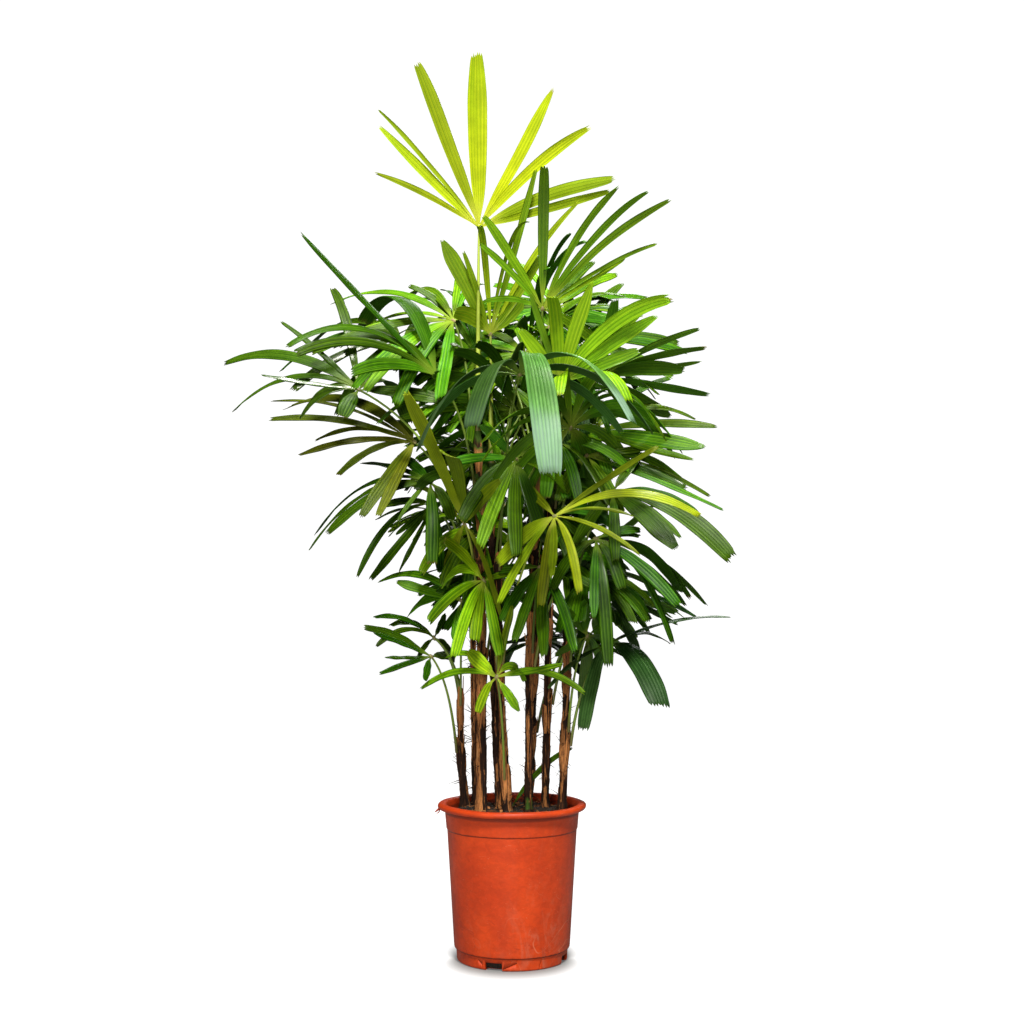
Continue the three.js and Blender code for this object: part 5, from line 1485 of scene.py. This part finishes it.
def makePot():
    p = potForm
    wall, foot, lower, upper = p["wall"], p["footRadius"], p["lowerRadius"], p["upperRadius"]
    collar, lip = p["collarRadius"], p["lipRadius"]
    footTop, step, lipFoot, top = p["footHeight"], p["stepHeight"], p["lipHeight"], p["height"]
    profile = roundedProfile([
        (0.6, 0, 0), (foot - 3, 0, 0), (foot, 1.5, 2.5), (foot + 1, footTop, 0.8),
        (lower - 0.8, footTop + 1.5, 1.5), (lower, footTop + 5, 2), (upper, step - 2, 0.8),
        (collar - 0.5, step, 1.0), (collar + 2, lipFoot, 1.5), (lip - 3, lipFoot, 2),
        (lip, lipFoot + 4, 3), (lip - 1, top - 2, 3), (lip - 4, top, 2), (collar + 2, top, 3),
        (collar - 1, top - 3, 3), (upper - wall, step, 2), (lower - wall, footTop + 5, 2),
        (foot - wall, footTop, 1), (foot - 2 * wall, wall, 1), (0.6, wall, 0)])
    rows, sides = len(profile), p["sides"]
    turn = fullTurn(sides)
    radius = profile[:, :1] * np.ones(sides)
    height = profile[:, 1:] * np.ones(sides)
    lipShare = easeIn((height - p["warpFrom"]) / p["warpRise"])
    outwards, upwards = p["lipWarp"]
    radius = radius + lipShare * outwards * softNoise(turn[None] * 2.5, 0.5, 8)
    height = height + lipShare * upwards * softNoise(turn[None] * 3.2, 0.5, 9)
    points = np.stack([radius * np.cos(turn), radius * np.sin(turn), height], -1)
    heap = Heap()
    heap.add(np.concatenate([points.reshape(-1, 3), [[0, 0, 0], [0, 0, wall]]]),
             gridQuads(rows, sides, True), capTris(rows, sides))
    skin = potMaterial()
    pot = makePiece("nurseryPot", heap, skin, ["pot"], sharpAngle=35)
    shreds = Heap()
    for path, thick in p["shreds"]:
        radii = (thick, thick, thick * 0.4)
        shreds.add(*tube(np.array(path, float), radii, sides=6, flat=0.5))
    makePiece("rimShreds", shreds, skin)
    middle = foot + 4 - p["drainDepth"] / 2
    cutters = []
    for index in range(p["drains"]):
        turned = math.radians(p["firstDrain"] + index * 360 / p["drains"])
        size = (p["drainDepth"], p["drainWidth"], 2 * p["drainHeight"])
        cutters.append(boxCutter(size, (middle, 0, 0), turned, taper=p["drainTaper"]))
    for degrees, height, length, slope in p["cracks"]:
        size = (p["crackDepth"], length, p["crackWidth"])
        cutters.append(boxCutter(size, (foot, 0, height), math.radians(degrees),
                                 slope=math.radians(slope)))
    cutAway(pot, cutters)


makePot()

stageForm = {
    # floorGlow: the floor's glow for the camera, low at the foot as a painted shadow
    "floor": 24.0, "floorGrey": 0.25, "floorGlow": (0.10, 1.0), "world": 0.035, "backdrop": 1.05,
    "paintedShadowFrom": 0.084, "paintedShadowReach": (0.026, 0.075),  # painted shadow: the soft dark ring round the foot
    "eye": (0, -2.5, 0.62), "lens": 54.4, "sensor": 36, "shiftUp": 0.0608,
}
warmWhite = (1.0, 0.97, 0.90)
studioLights = {  # place, point that it is aimed at, size, power and colour
    "keyLight": ((0.2, -2.1, 3.2), (0, 0, 0.8), 0.7, 150, warmWhite),
    "frontLight": ((-0.7, -3.2, 1.0), (0, 0, 0.4), 0.9, 44, warmWhite),
    "backLight": ((0.6, 2.4, 2.6), (0, 0, 0.9), 1.0, 34, (1, 1, 1)),
    "topLight": ((0.1, -0.3, 3.3), (0, 0, 0.5), 0.6, 86, warmWhite),
}


def makeStage():
    side = stageForm["floor"] / 2
    mesh = bpy.data.meshes.new("floor")
    mesh.from_pydata([(-side, -side, 0), (side, -side, 0), (side, side, 0), (-side, side, 0)],
                     [], [(0, 1, 2, 3)])
    material, wires, shader = newMaterial("paleFloor")
    shader.inputs["Base Color"].default_value = (*[stageForm["floorGrey"]] * 3, 1)
    shader.inputs["Roughness"].default_value = 0.9
    shader.inputs["Specular IOR Level"].default_value = 0.05
    x, y, _ = wires.apart(wires.solid())
    away = wires.math("SQRT", wires.plus(wires.times(x, x), wires.times(y, y)))
    ahead = wires.math("DIVIDE", wires.absolute(y), away)  # the painted shadow ring is wider in front and behind
    near, far = stageForm["paintedShadowReach"]
    reach = wires.plus(wires.times(ahead, far - near), near)
    beside = wires.math("DIVIDE", wires.minus(away, stageForm["paintedShadowFrom"]), reach)
    # the floor glows less near the foot: a painted shadow
    glow = wires.between(beside, 0.0, 1.0, *stageForm["floorGlow"])
    seen = wires.node("ShaderNodeLightPath").outputs["Is Camera Ray"]
    shader.inputs["Emission Color"].default_value = (1, 1, 1, 1)
    wires.feed(shader.inputs["Emission Strength"], wires.times(glow, seen))
    mesh.materials.append(material)
    addObject("floor", mesh)

    world = bpy.data.worlds.new("studio")
    world.use_nodes = True
    bpy.context.scene.world = world
    wires = Wires(world.node_tree)
    background = world.node_tree.nodes["Background"]
    seen = wires.node("ShaderNodeLightPath").outputs["Is Camera Ray"]
    strength = wires.plus(wires.times(seen, stageForm["backdrop"]), stageForm["world"])
    background.inputs["Color"].default_value = (1, 1, 1, 1)
    wires.feed(background.inputs["Strength"], strength)


def addLight(name, place, aim, size, energy, colour):
    light = bpy.data.lights.new(name, "AREA")
    light.shape, light.size, light.energy, light.color = "DISK", size, energy, colour
    lamp = addObject(name, light)
    lamp.location = place
    way = np.array(aim, float) - np.array(place, float)
    flat = math.hypot(way[0], way[1])
    lamp.rotation_euler = (math.atan2(flat, -way[2]), 0, math.atan2(-way[0], way[1]))


makeStage()
for name, values in studioLights.items():
    addLight(name, *values)

cameraData = bpy.data.cameras.new("camera")
cameraData.lens = stageForm["lens"]
cameraData.sensor_width = stageForm["sensor"]
cameraData.shift_y = stageForm["shiftUp"]
camera = addObject("camera", cameraData)
camera.location = stageForm["eye"]
camera.rotation_euler = (math.pi / 2, 0, 0)
bpy.context.scene.camera = camera
bpy.context.scene.view_settings.view_transform = "Standard"
print("stage set")
